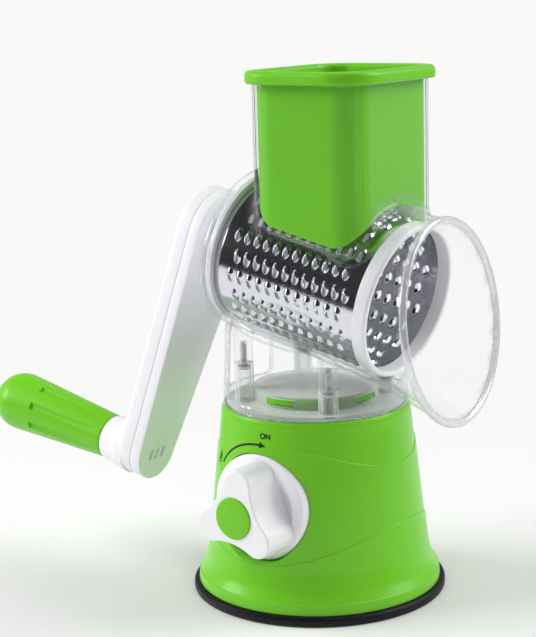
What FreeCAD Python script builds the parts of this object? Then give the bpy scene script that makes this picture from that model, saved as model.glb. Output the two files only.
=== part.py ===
import FreeCAD, Part
import math
import os
from types import SimpleNamespace

import Sketcher
from FreeCAD import Placement, Rotation, Vector

# Rotary cabbage shredder: a hand-cranked grater drum in a clear barrel, fed from a clear hopper,
# on a green base that a turn of the front knob sucks down to the worktop.
#
# The frame: the origin is the centre of the foot's flat underside, +Z is up, the barrel's mouth
# faces +X, the knob faces -Y and the crank hangs off the -X end. Lengths are in millimetres and
# angles in degrees.
#
# Three local frames are used. "Barrel" pieces are drawn with Z along the drum's axis towards the
# mouth and X downwards. "Knob" pieces are drawn with Z out of the front of the base. "Grip"
# pieces are drawn with Z along the grip, out of the crank arm.

DRIVING_SIZES = [
    # foot and base
    ("footRadius", 62.5, "radius of the rubber foot on the worktop"),
    ("footThickness", 4.5, "height of the foot's rim, on which the base shell stands"),
    ("footBevel", 1.0, "bevel round the foot's upper edge"),
    ("padThickness", 2.6, "thickness of the pad inside its rim"),
    ("padRimInner", 49.0, "inner radius of the pad's raised rim"),
    ("padBossRadius", 9.0, "radius of the boss that holds the lifter's rod"),
    ("padBossTop", 6.8, "height of the top of that boss"),
    ("padSkin", 0.6, "rubber left between the lifter's rod and the worktop"),
    ("shellFootRadius", 60.2, "radius of the base shell where it stands on the foot"),
    ("lipRadius", 57.2, "radius of the step above the shell's lip"),
    ("lipTop", 8.9, "height of the step above the lip"),
    ("flareRadius", 54.4, "radius where the shell's foot runs into its cone"),
    ("flareTop", 19.0, "height where the shell's foot runs into its cone"),
    ("shoulderRadius", 46.6, "radius at the top of the cone"),
    ("deckRadius", 45.5, "radius of the flat deck"),
    ("deckTop", 93.5, "height of the deck"),
    ("deckBevel", 2.0, "height of the bevel round the deck"),
    ("shellWall", 2.4, "wall of the base shell"),
    ("deckThickness", 2.6, "thickness of the deck"),
    ("spigotRadius", 28.0, "outer radius of the spigot on the deck"),
    ("spigotWall", 2.6, "wall of the spigot"),
    ("spigotHeight", 6.8, "height of the spigot above the deck"),
    ("lugReach", 2.0, "how far the spigot's lugs stand out"),
    ("lugWidth", 15.0, "width of a lug"),
    ("lugHeight", 2.6, "height of a lug"),
    ("lugLift", 3.4, "height of a lug's underside above the deck"),
    ("postRing", 40.0, "radius of the circle of posts inside the base"),
    ("postRadius", 4.5, "radius of a post"),
    ("plateThickness", 2.0, "thickness of the retainer plate"),
    ("plateBottom", 7.0, "height of the retainer plate's underside"),
    ("plateRadius", 53.6, "outer radius of the retainer plate"),
    ("plateSkirt", 3.0, "width of the skirt that holds the pad's rim down"),
    ("guideRadius", 8.0, "outer radius of the lifter's guide"),
    ("guideHeight", 11.0, "height of the lifter's guide above the plate"),
    # fits and screws
    ("fitGap", 0.06, "radial clearance of a shaft that turns or slides in its bore"),
    ("seatGap", 0.05, "clearance round a piece that is fixed in its seat"),
    ("freeGap", 0.3, "clearance between pieces that pass each other"),
    ("screwRadius", 1.6, "radius of a screw's shank"),
    ("screwHeadRadius", 3.0, "radius of a screw's head"),
    ("screwHeadHeight", 1.8, "height of a screw's head"),
    ("baseScrewLength", 15.0, "length of a base screw's shank"),
    # knob, shaft and lifter
    ("knobHeight", 51.5, "height of the knob's axis"),
    ("pocketRadius", 28.0, "radius of the round pocket for the knob"),
    ("pocketFloor", 41.0, "distance of the pocket's floor in front of the base's axis"),
    ("pocketWall", 2.2, "wall round and behind the pocket"),
    ("knobRadius", 27.3, "radius of the knob's flange"),
    ("knobBack", 41.5, "distance of the flange's back in front of the base's axis"),
    ("flangeThickness", 5.0, "thickness of the knob's flange"),
    ("knobFront", 67.5, "distance of the knob's front face in front of the base's axis"),
    ("lobeReach", 23.7, "how far the three lobes reach from the knob's axis"),
    ("lobeRadius", 5.5, "radius of a lobe's tip"),
    ("waistRadius", 12.2, "least distance of the grip's sides from the knob's axis"),
    ("lobeAngle", 82.0, "angle of the first lobe"),
    ("knobDraft", 2.0, "angle by which the grip narrows towards the front"),
    ("capRadius", 10.0, "radius of the knob's cap"),
    ("capDepth", 1.8, "depth of the cap's seat"),
    ("capProud", 1.0, "how far the cap stands out"),
    ("shaftRadius", 4.0, "radius of the knob's shaft"),
    ("shaftFront", 62.0, "distance of the shaft's front end in front of the base's axis"),
    ("shaftBack", 19.5, "distance of the shaft's back end behind the base's axis"),
    ("shaftCollarRadius", 6.5, "radius of the collar that keeps the shaft in"),
    ("shaftCollarWidth", 2.0, "width of that collar"),
    ("bearingFront", 14.0, "distance of the shaft's inner bearing behind the base's axis"),
    ("bearingWidth", 4.0, "thickness of the inner bearing"),
    ("bearingHalf", 8.0, "half width of the inner bearing"),
    ("camRadius", 8.0, "radius of the cam"),
    ("camThrow", 2.5, "distance of the cam's centre from the shaft's axis"),
    ("camWidth", 8.0, "width of the cam along the shaft"),
    ("yokeHalf", 14.5, "half width of the lifter's yoke"),
    ("yokeDepth", 9.0, "thickness of the yoke along the shaft"),
    ("yokeBar", 3.2, "thickness of the yoke's bars"),
    ("yokeRoom", 1.2, "room under the cam in the yoke"),
    ("rodRadius", 5.0, "radius of the lifter's rod"),
    ("pegRadius", 4.0, "radius of the peg that centres the spring"),
    ("pegHeight", 8.0, "height of that peg"),
    ("springRadius", 5.6, "radius of the spring's coil, to the middle of its wire"),
    ("springWire", 0.5, "radius of the spring's wire"),
    ("springPitch", 3.6, "pitch of the spring's coil"),
    ("knobScrewLength", 12.0, "length of the knob screw's shank"),
    # clear mount plate and pedestal
    ("discThickness", 2.0, "thickness of the mount plate's disc"),
    ("collarHeight", 8.1, "height of the mount plate's collar above the deck"),
    ("collarWall", 2.2, "wall of the mount plate's collar"),
    ("collarRoof", 1.0, "thickness of the roof that closes the collar"),
    ("windowMargin", 0.4, "how much the collar's windows clear the lugs all round"),
    ("bossPlace", 24.7, "distance of the four clear bosses from both middle planes"),
    ("standoffRadius", 4.7, "radius of a standoff"),
    ("rearStandoffDrop", 44.9, "distance of the rear standoffs' tops below the barrel's axis"),
    ("frontStandoffDrop", 52.7, "distance of the front standoffs' tops below the barrel's axis"),
    ("standoffRoof", 1.6, "plastic between a screw's head and the top of its standoff"),
    ("housingScrewLength", 12.0, "length of a housing screw's shank"),
    ("wallRadius", 45.5, "outer radius of the pedestal's wall where it stands on the deck"),
    ("wallTopRadius", 41.4, "outer radius of the pedestal's wall at the barrel's axis"),
    ("housingWall", 2.1, "wall of the clear housing"),
    ("ringHeight", 5.2, "height of the closed ring at the foot of the pedestal"),
    ("sideWindowHalf", 27.0, "half width of the front and back windows"),
    ("rearWindowHalf", 17.0, "half width of the window under the crank's end"),
    ("windowHead", 28.5, "distance of the windows' upper edge below the barrel's axis"),
    ("ledgeDrop", 23.5, "distance of the pedestal's ledge below the barrel's axis"),
    # barrel, mouth and hopper
    ("barrelRise", 65.6, "height of the barrel's axis over the deck, above the origin"),
    ("barrelTilt", 12.4, "fall of the barrel towards its mouth"),
    ("barrelRadius", 40.3, "outer radius of the barrel"),
    ("barrelBack", 38.5, "distance of the barrel's rear face behind the origin's plane"),
    ("rearWall", 2.0, "thickness of the barrel's rear wall"),
    ("flareStart", 46.0, "distance along the axis at which the mouth starts to widen"),
    ("mouthPlace", 79.9, "distance along the axis of the mouth's centre"),
    ("mouthDrop", 2.3, "distance of the mouth's centre below the barrel's axis"),
    ("mouthLean", 18.4, "angle between the mouth's plane and a square cut"),
    ("mouthHalfHeight", 47.7, "half of the mouth's long axis"),
    ("mouthHalfWidth", 42.0, "half of the mouth's short axis"),
    ("rimWidth", 3.0, "width of the bead round the mouth"),
    ("rimProud", 0.7, "how far the bead stands out"),
    ("rimLip", 0.4, "how far the bead reaches inwards over the wall"),
    ("neckRadius", 14.0, "outer radius of the neck on the rear wall"),
    ("neckLength", 15.0, "length of that neck"),
    ("hopperPlace", 18.1, "distance of the hopper's axis in front of the origin"),
    ("hopperTop", 248.2, "height of the hopper's rim"),
    # pusher
    ("pusherHalfLength", 29.5, "half size of the pusher along the barrel"),
    ("pusherHalfWidth", 35.0, "half size of the pusher across the barrel"),
    ("pusherCorner", 11.0, "corner radius of the pusher"),
    ("pusherPlay", 0.5, "clearance of the pusher in the hopper"),
    ("pusherWall", 2.2, "wall of the pusher"),
    ("pusherRim", 5.9, "thickness of the pusher's rim"),
    ("rimOverhang", 3.9, "how far the rim stands out from the pusher"),
    ("pusherBottom", 40.6, "radius of the pusher's hollow underside about the barrel's axis"),
    # drum
    ("drumRadius", 35.5, "outer radius of the steel sheet"),
    ("drumSheet", 0.6, "thickness of the steel sheet"),
    ("drumBack", 32.8, "distance of the sheet's rear edge behind the origin's plane"),
    ("drumFront", 55.8, "distance of the drum's front face along the axis"),
    ("ringWidth", 7.2, "width of the drum's front ring"),
    ("ringLip", 2.6, "width of the lip that covers the sheet's edge"),
    ("ringOuter", 37.1, "outer radius of the drum's end pieces"),
    ("ringInner", 34.3, "inner radius of the front ring's lip"),
    ("capFlange", 3.2, "width of the rear cap's flange"),
    ("capSleeve", 6.0, "length of the rear cap's sleeve inside the sheet"),
    ("capWeb", 2.0, "thickness of the rear cap's web"),
    ("hubRadius", 10.0, "radius of the drum's hub"),
    ("hubLength", 15.0, "length of the drum's hub behind the rear cap"),
    ("squareHalf", 4.5, "half width of the spindle's square"),
    ("squarePlay", 0.15, "clearance of the square in the hub"),
    ("toothPitch", 5.65, "distance of the teeth in a row"),
    ("toothWidth", 4.0, "width of a tooth"),
    ("toothRun", 3.9, "length of a tooth's slope round the drum"),
    ("toothRise", 1.6, "how far a tooth stands out of the sheet"),
    ("holeLength", 5.6, "length of a tooth's hole round the drum"),
    ("holeUnder", 2.4, "how far the hole runs under the tooth's slope"),
    ("holeWidth", 3.0, "width of a tooth's hole"),
    ("toothMargin", 10.2, "plain sheet between the rear edge and the first teeth"),
    ("toothMarginFront", 7.9, "least plain sheet between the last teeth and the front edge"),
    ("toothRows", 22, "number of rows of teeth round the drum"),
    ("toothPhase", 1.0, "angle of the first row of teeth from straight down"),
    # crank
    ("armLength", 115.7, "distance of the grip's axle from the barrel's axis"),
    ("armAngle", 15.6, "angle of the arm from straight down, towards the knob's side"),
    ("armHubRadius", 22.4, "radius of the arm round the spindle"),
    ("armEndRadius", 13.9, "radius of the arm round the grip's axle"),
    ("armInner", 54.6, "distance of the arm's inner face behind the origin's plane"),
    ("coverThickness", 4.2, "thickness of the arm's cover"),
    ("armThickness", 15.4, "thickness of the whole arm"),
    ("armWall", 2.2, "wall of the arm"),
    ("armHubLift", 0.8, "height of the round pad on the cover, facing the neck"),
    ("armBossRadius", 8.5, "radius of the bosses in the arm"),
    ("ventCount", 3, "number of small slots near the cover's end"),
    ("ventPitch", 4.3, "distance of those slots"),
    ("ventLength", 5.6, "length of those slots"),
    ("ventWidth", 1.5, "width of those slots"),
    ("ventLean", 24.0, "angle of those slots from straight down"),
    ("tailRadius", 4.0, "radius of the spindle's round tail"),
    ("tailLength", 5.0, "length of the spindle's round tail"),
    ("spindleFlange", 8.0, "radius of the spindle's flange"),
    ("spindleFlangeWidth", 2.6, "thickness of the spindle's flange"),
    ("squareLength", 17.0, "length of the spindle's square in front of the cover"),
    # grip
    ("gripLean", 3.0, "angle between the grip's axle and the barrel's axis"),
    ("gripDrop", 1.5, "distance of the grip's axle beyond the arm's end centre"),
    ("collarLength", 17.0, "length of the arm's collar towards the grip"),
    ("collarFoot", 13.2, "radius of the collar at the arm"),
    ("collarEnd", 11.2, "radius of the collar at the grip"),
    ("axleRadius", 3.5, "radius of the grip's axle"),
    ("axleLength", 66.0, "length of the axle beyond the arm's face"),
    ("axleHead", 6.5, "radius of the axle's head in the arm"),
    ("axleHeadWidth", 2.0, "thickness of the axle's head"),
    ("washerRadius", 7.0, "radius of the washer at the axle's end"),
    ("washerWidth", 1.0, "thickness of that washer"),
    ("gripNeck", 10.9, "radius of the grip beside the collar"),
    ("gripBelly", 14.3, "largest radius of the grip"),
    ("gripLength", 68.5, "length of the grip up to its cap"),
    ("gripCapLength", 11.0, "length of the grip's domed cap"),
    ("gripCapFlat", 5.0, "radius of the flat at the end of the cap"),
    ("gripBore", 9.0, "radius of the hollow at the grip's end"),
    ("gripScrewLength", 11.0, "length of the grip screw's shank"),
    ("fluteCount", 6, "number of flutes round the grip"),
    ("fluteRadius", 6.0, "radius of a flute's section"),
    ("fluteDepth", 1.3, "depth of a flute at the grip's thick end"),
    ("fluteLength", 61.0, "length of the flutes from the grip's neck"),
    ("capSpigot", 6.0, "length of the cap's spigot inside the grip"),
]


class Size:
    """A size from the sheet, or worked out from such sizes: FreeCAD's expression and its value."""

    def __init__(self, text, value):
        self.text = text
        self.value = value

    def joined_to(self, other, sign, value):
        return Size(f"({self.text} {sign} {size_of(other).text})", value)

    def __add__(self, other):
        return self.joined_to(other, "+", self.value + number(other))

    def __sub__(self, other):
        return self.joined_to(other, "-", self.value - number(other))

    def __mul__(self, other):
        return self.joined_to(other, "*", self.value * number(other))

    def __truediv__(self, other):
        return self.joined_to(other, "/", self.value / number(other))

    def __radd__(self, other):
        return size_of(other) + self

    def __rsub__(self, other):
        return size_of(other) - self

    def __rmul__(self, other):
        return size_of(other) * self

    def __neg__(self):
        return size_of(0) - self


def size_of(length):
    """A plain number as a size, or the size itself."""
    return length if isinstance(length, Size) else Size(repr(length), length)


def number(length):
    """The present value of a size or of a plain number."""
    return length.value if isinstance(length, Size) else length


def sine(angle):
    return Size(f"sin({angle.text} * 1deg)", math.sin(math.radians(angle.value)))


def cosine(angle):
    return Size(f"cos({angle.text} * 1deg)", math.cos(math.radians(angle.value)))


# ---- the document and its sheet

doc = FreeCAD.newDocument("RotaryShredder")
sheet = doc.addObject("Spreadsheet::Sheet", "Sizes")
for row, (alias, amount, note) in enumerate(DRIVING_SIZES, start=1):
    sheet.set(f"A{row}", alias)
    sheet.set(f"B{row}", str(amount))
    sheet.set(f"C{row}", note)
    sheet.setAlias(f"B{row}", alias)
doc.recompute()
s = SimpleNamespace(**{alias: Size(f"Sizes.{alias}", float(sheet.get(alias)))
                       for alias, amount, note in DRIVING_SIZES})

X_AXIS = Vector(1, 0, 0)
Y_AXIS = Vector(0, 1, 0)
Z_AXIS = Vector(0, 0, 1)
LONG = 200          # longer than any piece, for cutting bodies
subparts = []


# ---- small helpers

def bind(thing, field, length):
    """Sets one field of an object, as an expression where it comes from the sheet."""
    if isinstance(length, Size):
        thing.setExpression(field, length.text)
    else:
        setattr(thing, field, length)


def put(thing, x=0, y=0, z=0, turn=0, about=Z_AXIS):
    """Places an object at a point, turned about one axis."""
    thing.Placement = Placement(Vector(number(x), number(y), number(z)), Rotation(about, number(turn)))
    for letter, distance in zip("xyz", (x, y, z)):
        if isinstance(distance, Size):
            thing.setExpression(f"Placement.Base.{letter}", distance.text)
    if isinstance(turn, Size):
        thing.setExpression("Placement.Rotation.Angle", turn.text)
    return thing


def cylinder(radius, length, **place):
    rod = doc.addObject("Part::Cylinder", "Cylinder")
    bind(rod, "Radius", radius)
    bind(rod, "Height", length)
    return put(rod, **place)


def cone(foot, top, length, **place):
    taper = doc.addObject("Part::Cone", "Cone")
    bind(taper, "Radius1", foot)
    bind(taper, "Radius2", top)
    bind(taper, "Height", length)
    return put(taper, **place)


def block(length, width, height, x=0, y=0, z=0):
    """A box centred on x and y that stands on z."""
    brick = doc.addObject("Part::Box", "Box")
    bind(brick, "Length", length)
    bind(brick, "Width", width)
    bind(brick, "Height", height)
    return put(brick, x=x - length / 2, y=y - width / 2, z=z)


def fused(*things):
    """Several objects as one."""
    union = doc.addObject("Part::MultiFuse", "Union")
    union.Shapes = list(things)
    return union


def cut(base, *tools):
    """The base less the tools."""
    rest = doc.addObject("Part::Cut", "Cut")
    rest.Base = base
    rest.Tool = tools[0] if len(tools) == 1 else fused(*tools)
    return rest


def common(one, other):
    """What two objects share."""
    shared = doc.addObject("Part::Common", "Common")
    shared.Base = one
    shared.Tool = other
    return shared


def tube(outer, inner, length, **place):
    """A cylinder with a bore right through, which is cut longer than the wall."""
    wall = cylinder(outer, length)
    bore = cylinder(inner, length + 2, z=-1)
    return put(cut(wall, bore), **place)


def compound(things):
    """Separate solids in one node."""
    group = doc.addObject("Part::Compound", "Group")
    group.Links = things
    return group


def coded(shape):
    """A shape that is worked out in code from the sheet's sizes."""
    feature = doc.addObject("Part::Feature", "Worked")
    feature.Shape = shape
    return feature


def body_plane(body, role):
    return [plane for plane in body.Origin.OriginFeatures if plane.Role == role][0]


def pinned(sketch, line, corner, name):
    """Holds the start of a sketch line at a corner given in sizes."""
    for kind, letter, distance in zip(("DistanceX", "DistanceY"), "xy", corner):
        place = sketch.addConstraint(
            Sketcher.Constraint(kind, -1, 1, line, 1, float(number(distance))))
        sketch.renameConstraint(place, f"{letter}{name}")
        if isinstance(distance, Size):
            sketch.setExpression(f"Constraints.{letter}{name}", distance.text)


def turned(corners):
    """A body turned about Z from a closed outline of (radius, height) corners."""
    body = doc.addObject("PartDesign::Body", "Turned")
    sketch = body.newObject("Sketcher::SketchObject", "Profile")
    sketch.AttachmentSupport = (body_plane(body, "XZ_Plane"), [""])
    sketch.MapMode = "FlatFace"
    spots = [Vector(number(x), number(y), 0) for x, y in corners]
    for here, there in zip(spots, spots[1:] + spots[:1]):
        sketch.addGeometry(Part.LineSegment(here, there), False)
    for line, corner in enumerate(corners):
        following = (line + 1) % len(corners)
        sketch.addConstraint(Sketcher.Constraint("Coincident", line, 2, following, 1))
        pinned(sketch, line, corner, f"Corner{line}")
    revolution = body.newObject("PartDesign::Revolution", "Revolution")
    revolution.Profile = sketch
    revolution.ReferenceAxis = (sketch, ["V_Axis"])
    revolution.Angle = 360
    return body


def rounded_block(half_length, half_width, corner, height, x=0, z=0):
    """A body padded from a rectangle with rounded corners."""
    body = doc.addObject("PartDesign::Body", "Rounded")
    sketch = body.newObject("Sketcher::SketchObject", "Outline")
    sketch.AttachmentSupport = (body_plane(body, "XY_Plane"), [""])
    sketch.MapMode = "FlatFace"
    flat_x = half_length - corner
    flat_y = half_width - corner
    ends = [(-flat_x, -half_width), (flat_x, -half_width), (half_length, -flat_y), (half_length, flat_y),
            (flat_x, half_width), (-flat_x, half_width), (-half_length, flat_y), (-half_length, -flat_y)]
    spots = [Vector(number(across), number(along), 0) for across, along in ends]
    for side in range(4):
        sketch.addGeometry(Part.LineSegment(spots[2 * side], spots[2 * side + 1]), False)
    centres = [(flat_x, -flat_y), (flat_x, flat_y), (-flat_x, flat_y), (-flat_x, -flat_y)]
    for side, (across, along) in enumerate(centres):
        circle = Part.Circle(Vector(number(across), number(along), 0), Z_AXIS, number(corner))
        start = math.radians(90 * side - 90)
        sketch.addGeometry(Part.ArcOfCircle(circle, start, start + math.pi / 2), False)
    for side in range(4):
        arc = 4 + side
        sketch.addConstraint(Sketcher.Constraint("Coincident", side, 2, arc, 1))
        sketch.addConstraint(Sketcher.Constraint("Coincident", arc, 2, (side + 1) % 4, 1))
        pinned(sketch, side, ends[2 * side], f"Start{side}")
        reach, letter = (ends[2 * side + 1][0], "X") if side % 2 == 0 else (ends[2 * side + 1][1], "Y")
        place = sketch.addConstraint(
            Sketcher.Constraint("Distance" + letter, -1, 1, side, 2, float(number(reach))))
        sketch.renameConstraint(place, f"reach{side}")
        sketch.setExpression(f"Constraints.reach{side}", reach.text)
        sketch.addConstraint(Sketcher.Constraint("Vertical" if letter == "Y" else "Horizontal", side))
        place = sketch.addConstraint(Sketcher.Constraint("Radius", arc, float(number(corner))))
        sketch.renameConstraint(place, f"corner{side}")
        sketch.setExpression(f"Constraints.corner{side}", corner.text)
    pad = body.newObject("PartDesign::Pad", "Pad")
    pad.Profile = sketch
    bind(pad, "Length", height)
    return put(body, x=x, z=z)


def kept(label, thing):
    """Names a finished piece; its label names its file."""
    thing.Label = label
    subparts.append(thing)
    return thing


# Height of the point of the barrel's axis that lies above the origin.
axis_height = s.deckTop + s.barrelRise


def in_barrel(thing, down=0, side=0, along=0):
    """Moves a piece drawn along the drum's axis to its place, from a point of the barrel's frame."""
    fall, run = sine(s.barrelTilt), cosine(s.barrelTilt)
    return put(thing, x=run * along - fall * down, y=side, z=axis_height - fall * along - run * down,
               turn=90 + s.barrelTilt, about=Y_AXIS)


def in_knob(thing):
    """Moves a piece drawn along the knob's axis to its place."""
    return put(thing, z=s.knobHeight, turn=90, about=X_AXIS)


def in_grip(thing, away=0, back=0):
    """Moves a piece drawn along the grip to its place, turned back by 180 to face the arm."""
    slope = s.barrelTilt - s.gripLean
    return put(thing, x=grip_x - away * cosine(slope), y=-arm_side, z=grip_z + away * sine(slope),
               turn=slope - 90 + back, about=Y_AXIS)


def screw(length, **place):
    """A pan-head screw: its head's underside is at the origin and its shank runs along +Z."""
    head = cylinder(s.screwHeadRadius, s.screwHeadHeight, z=-s.screwHeadHeight)
    point = s.screwRadius
    shank = cylinder(s.screwRadius, length - point)
    tip = cone(s.screwRadius, s.screwRadius / 4, point, z=length - point)
    return put(fused(head, shank, tip), **place)


# Where the arm's end and the grip's axle lie, measured from the barrel's axis.
arm_down = s.armLength * cosine(s.armAngle)
arm_side = s.armLength * sine(s.armAngle)
grip_down = arm_down + s.gripDrop
arm_outer = s.armInner + s.armThickness
grip_x = -(arm_outer * cosine(s.barrelTilt)) - grip_down * sine(s.barrelTilt)
grip_z = axis_height + arm_outer * sine(s.barrelTilt) - grip_down * cosine(s.barrelTilt)


# ---- the foot and the base

DIAGONALS = [(1, 1), (-1, 1), (-1, -1), (1, -1)]
diagonal_share = math.sqrt(0.5)
post_place = s.postRing * diagonal_share


def make_suction_pad():
    rod_room = s.rodRadius + s.freeGap
    profile = [(0, 0), (s.footRadius, 0), (s.footRadius, s.footThickness - s.footBevel),
               (s.footRadius - s.footBevel, s.footThickness), (s.padRimInner, s.footThickness),
               (s.padRimInner, s.padThickness), (s.padBossRadius, s.padThickness),
               (s.padBossRadius, s.padBossTop), (rod_room, s.padBossTop), (rod_room, s.padSkin),
               (0, s.padSkin)]
    return kept("suction_pad", turned(profile))


def make_base_shell():
    cone_top = s.deckTop - s.deckBevel
    outside = turned([(0, s.footThickness), (s.shellFootRadius, s.footThickness),
                      (s.shellFootRadius - s.footBevel, s.lipTop - s.footBevel),
                      (s.lipRadius, s.lipTop), (s.flareRadius, s.flareTop),
                      (s.shoulderRadius, cone_top), (s.deckRadius, s.deckTop), (0, s.deckTop)])
    inside_top = s.deckTop - s.deckThickness
    inside = turned([(0, s.footThickness - 1), (s.shellFootRadius - s.shellWall, s.footThickness - 1),
                     (s.shellFootRadius - s.shellWall, s.footThickness),
                     (s.lipRadius - s.shellWall, s.lipTop), (s.flareRadius - s.shellWall, s.flareTop),
                     (s.shoulderRadius - s.shellWall, inside_top), (0, inside_top)])
    cup_back = s.pocketFloor - s.pocketWall
    cup = common(cylinder(s.pocketRadius + s.pocketWall, LONG, y=-cup_back, z=s.knobHeight,
                          turn=90, about=X_AXIS), outside)
    pocket = cylinder(s.pocketRadius, LONG, y=-s.pocketFloor, z=s.knobHeight, turn=90, about=X_AXIS)
    bearing_foot = s.knobHeight - s.bearingHalf
    bearing = block(2 * s.bearingHalf, s.bearingWidth, inside_top - bearing_foot,
                    y=s.bearingFront + s.bearingWidth / 2, z=bearing_foot)
    bore = cylinder(s.shaftRadius + s.fitGap, s.pocketFloor + s.bearingFront + s.bearingWidth + 2,
                    y=s.bearingFront + s.bearingWidth + 1, z=s.knobHeight, turn=90, about=X_AXIS)
    spigot = tube(s.spigotRadius, s.spigotRadius - s.spigotWall, s.spigotHeight, z=s.deckTop)
    lug_reach = 2 * (s.spigotRadius + s.lugReach)
    lug_bottom = s.deckTop + s.lugLift
    lugs = cut(fused(block(lug_reach, s.lugWidth, s.lugHeight, z=lug_bottom),
                     block(s.lugWidth, lug_reach, s.lugHeight, z=lug_bottom)),
               cylinder(s.spigotRadius - s.spigotWall, LONG))
    plate_top = s.plateBottom + s.plateThickness
    posts = [cylinder(s.postRadius, inside_top - plate_top, x=post_place * across, y=post_place * along,
                      z=plate_top) for across, along in DIAGONALS]
    pilots = [cylinder(s.screwRadius + s.seatGap, s.baseScrewLength, x=post_place * across,
                       y=post_place * along, z=s.plateBottom) for across, along in DIAGONALS]
    shell = fused(cut(outside, inside), cup, bearing, spigot, lugs, *posts)
    return kept("base_shell", cut(shell, pocket, bore, *pilots))


def make_retainer_plate():
    guide_bore = s.rodRadius + s.fitGap
    plate_top = s.plateBottom + s.plateThickness
    profile = [(guide_bore, s.plateBottom), (s.plateRadius - s.plateSkirt, s.plateBottom),
               (s.plateRadius - s.plateSkirt, s.footThickness), (s.plateRadius, s.footThickness),
               (s.plateRadius, plate_top), (s.guideRadius, plate_top),
               (s.guideRadius, plate_top + s.guideHeight), (guide_bore, plate_top + s.guideHeight)]
    holes = [cylinder(s.screwRadius + s.seatGap, LONG, x=post_place * across, y=post_place * along)
             for across, along in DIAGONALS]
    return kept("retainer_plate", cut(turned(profile), *holes))


def make_retainer_screws():
    screws = [screw(s.baseScrewLength, x=post_place * across, y=post_place * along, z=s.plateBottom)
              for across, along in DIAGONALS]
    return kept("retainer_screws", compound(screws))


# ---- the knob, its shaft and the lifter that draws the pad up

lobe_centre = s.lobeReach - s.lobeRadius
cam_offset = s.camThrow * diagonal_share
yoke_window_top = s.knobHeight - cam_offset + s.camRadius + s.freeGap
yoke_window_bottom = s.knobHeight - cam_offset - s.camRadius - s.yokeRoom
yoke_top = yoke_window_top + s.yokeBar
spring_top = s.deckTop - s.deckThickness


def lobed_outline(shrink, height):
    """The grip's outline: three tips joined by hollow sides that are arcs tangent to the tips."""
    centre = number(lobe_centre)
    tip = number(s.lobeRadius) - shrink
    waist = number(s.waistRadius) - shrink
    # The side's centre lies at a distance d out from the axis, halfway between two lobes, where
    # d^2 + centre^2 - d * centre = (d - waist + tip)^2.
    away = (centre ** 2 - (tip - waist) ** 2) / (centre + 2 * (tip - waist))
    edges = []
    for turn in range(3):
        here = math.radians(number(s.lobeAngle) + 120 * turn)
        middle = here + math.radians(60)
        lobe = Vector(centre * math.cos(here), centre * math.sin(here), height)
        nearby = here + math.radians(120)
        following = Vector(centre * math.cos(nearby), centre * math.sin(nearby), height)
        hollow = Vector(away * math.cos(middle), away * math.sin(middle), height)
        to_hollow = (hollow - lobe).normalize()
        before = here - math.radians(60)
        last_hollow = Vector(away * math.cos(before), away * math.sin(before), height)
        from_hollow = (last_hollow - lobe).normalize()
        outward = Vector(math.cos(here), math.sin(here), 0)
        edges.append(Part.Arc(lobe + from_hollow * tip, lobe + outward * tip,
                              lobe + to_hollow * tip).toShape())
        waist_point = Vector(waist * math.cos(middle), waist * math.sin(middle), height)
        edges.append(Part.Arc(lobe + to_hollow * tip, waist_point,
                              following + (hollow - following).normalize() * tip).toShape())
    return Part.Wire(edges)


def make_knob():
    flange_front = number(s.knobBack + s.flangeThickness)
    front = number(s.knobFront)
    shrink = (front - flange_front) * math.tan(math.radians(number(s.knobDraft)))
    wires = [lobed_outline(0, flange_front - 1), lobed_outline(shrink, front)]
    grip = coded(Part.makeLoft(wires, True, True))
    cap_seat = s.knobFront - s.capDepth
    head_room = s.screwHeadHeight + 2 * s.freeGap
    knob = cut(fused(cylinder(s.knobRadius, s.flangeThickness, z=s.knobBack), grip),
               cylinder(s.capRadius + s.seatGap, LONG, z=cap_seat),
               cylinder(s.shaftRadius + s.seatGap, s.shaftFront - s.knobBack + 1, z=s.knobBack - 1),
               cylinder(s.screwRadius + s.freeGap, LONG, z=s.knobBack),
               cylinder(s.screwHeadRadius + s.freeGap, LONG, z=cap_seat - head_room))
    return kept("suction_knob", in_knob(knob))


def make_knob_cap():
    seat = s.knobFront - s.capDepth
    face = s.knobFront + s.capProud
    profile = [(0, seat), (s.capRadius, seat), (s.capRadius, face - s.capProud / 2),
               (s.capRadius - s.capProud, face), (0, face)]
    return kept("knob_cap", in_knob(turned(profile)))


def make_knob_screw():
    seat = s.knobFront - s.capDepth - s.screwHeadHeight - 2 * s.freeGap
    return kept("knob_screw", put(screw(s.knobScrewLength), y=-seat, z=s.knobHeight,
                                  turn=-90, about=X_AXIS))


def make_cam_shaft():
    collar_back = s.pocketFloor - s.pocketWall - s.freeGap - s.shaftCollarWidth
    shaft = cylinder(s.shaftRadius, s.shaftFront + s.shaftBack, z=-s.shaftBack)
    collar = cylinder(s.shaftCollarRadius, s.shaftCollarWidth, z=collar_back)
    cam = cylinder(s.camRadius, s.camWidth, x=-cam_offset, y=-cam_offset, z=-(s.camWidth / 2))
    screw_seat = s.knobFront - s.capDepth - s.screwHeadHeight - 2 * s.freeGap
    pilot = cylinder(s.screwRadius + s.seatGap, s.knobScrewLength + 1,
                     z=screw_seat - s.knobScrewLength)
    return kept("cam_shaft", in_knob(cut(fused(shaft, collar, cam), pilot)))


def make_lifter():
    yoke_bottom = yoke_window_bottom - s.yokeBar
    frame = cut(block(2 * s.yokeHalf, s.yokeDepth, yoke_top - yoke_bottom, z=yoke_bottom),
                block(2 * (s.yokeHalf - s.yokeBar), 2 * s.yokeDepth,
                      yoke_window_top - yoke_window_bottom, z=yoke_window_bottom))
    rod_foot = s.padSkin + s.freeGap
    rod = cylinder(s.rodRadius, yoke_bottom - rod_foot, z=rod_foot)
    peg = cylinder(s.pegRadius, s.pegHeight, z=yoke_top)
    return kept("lifter", fused(frame, rod, peg))


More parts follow.
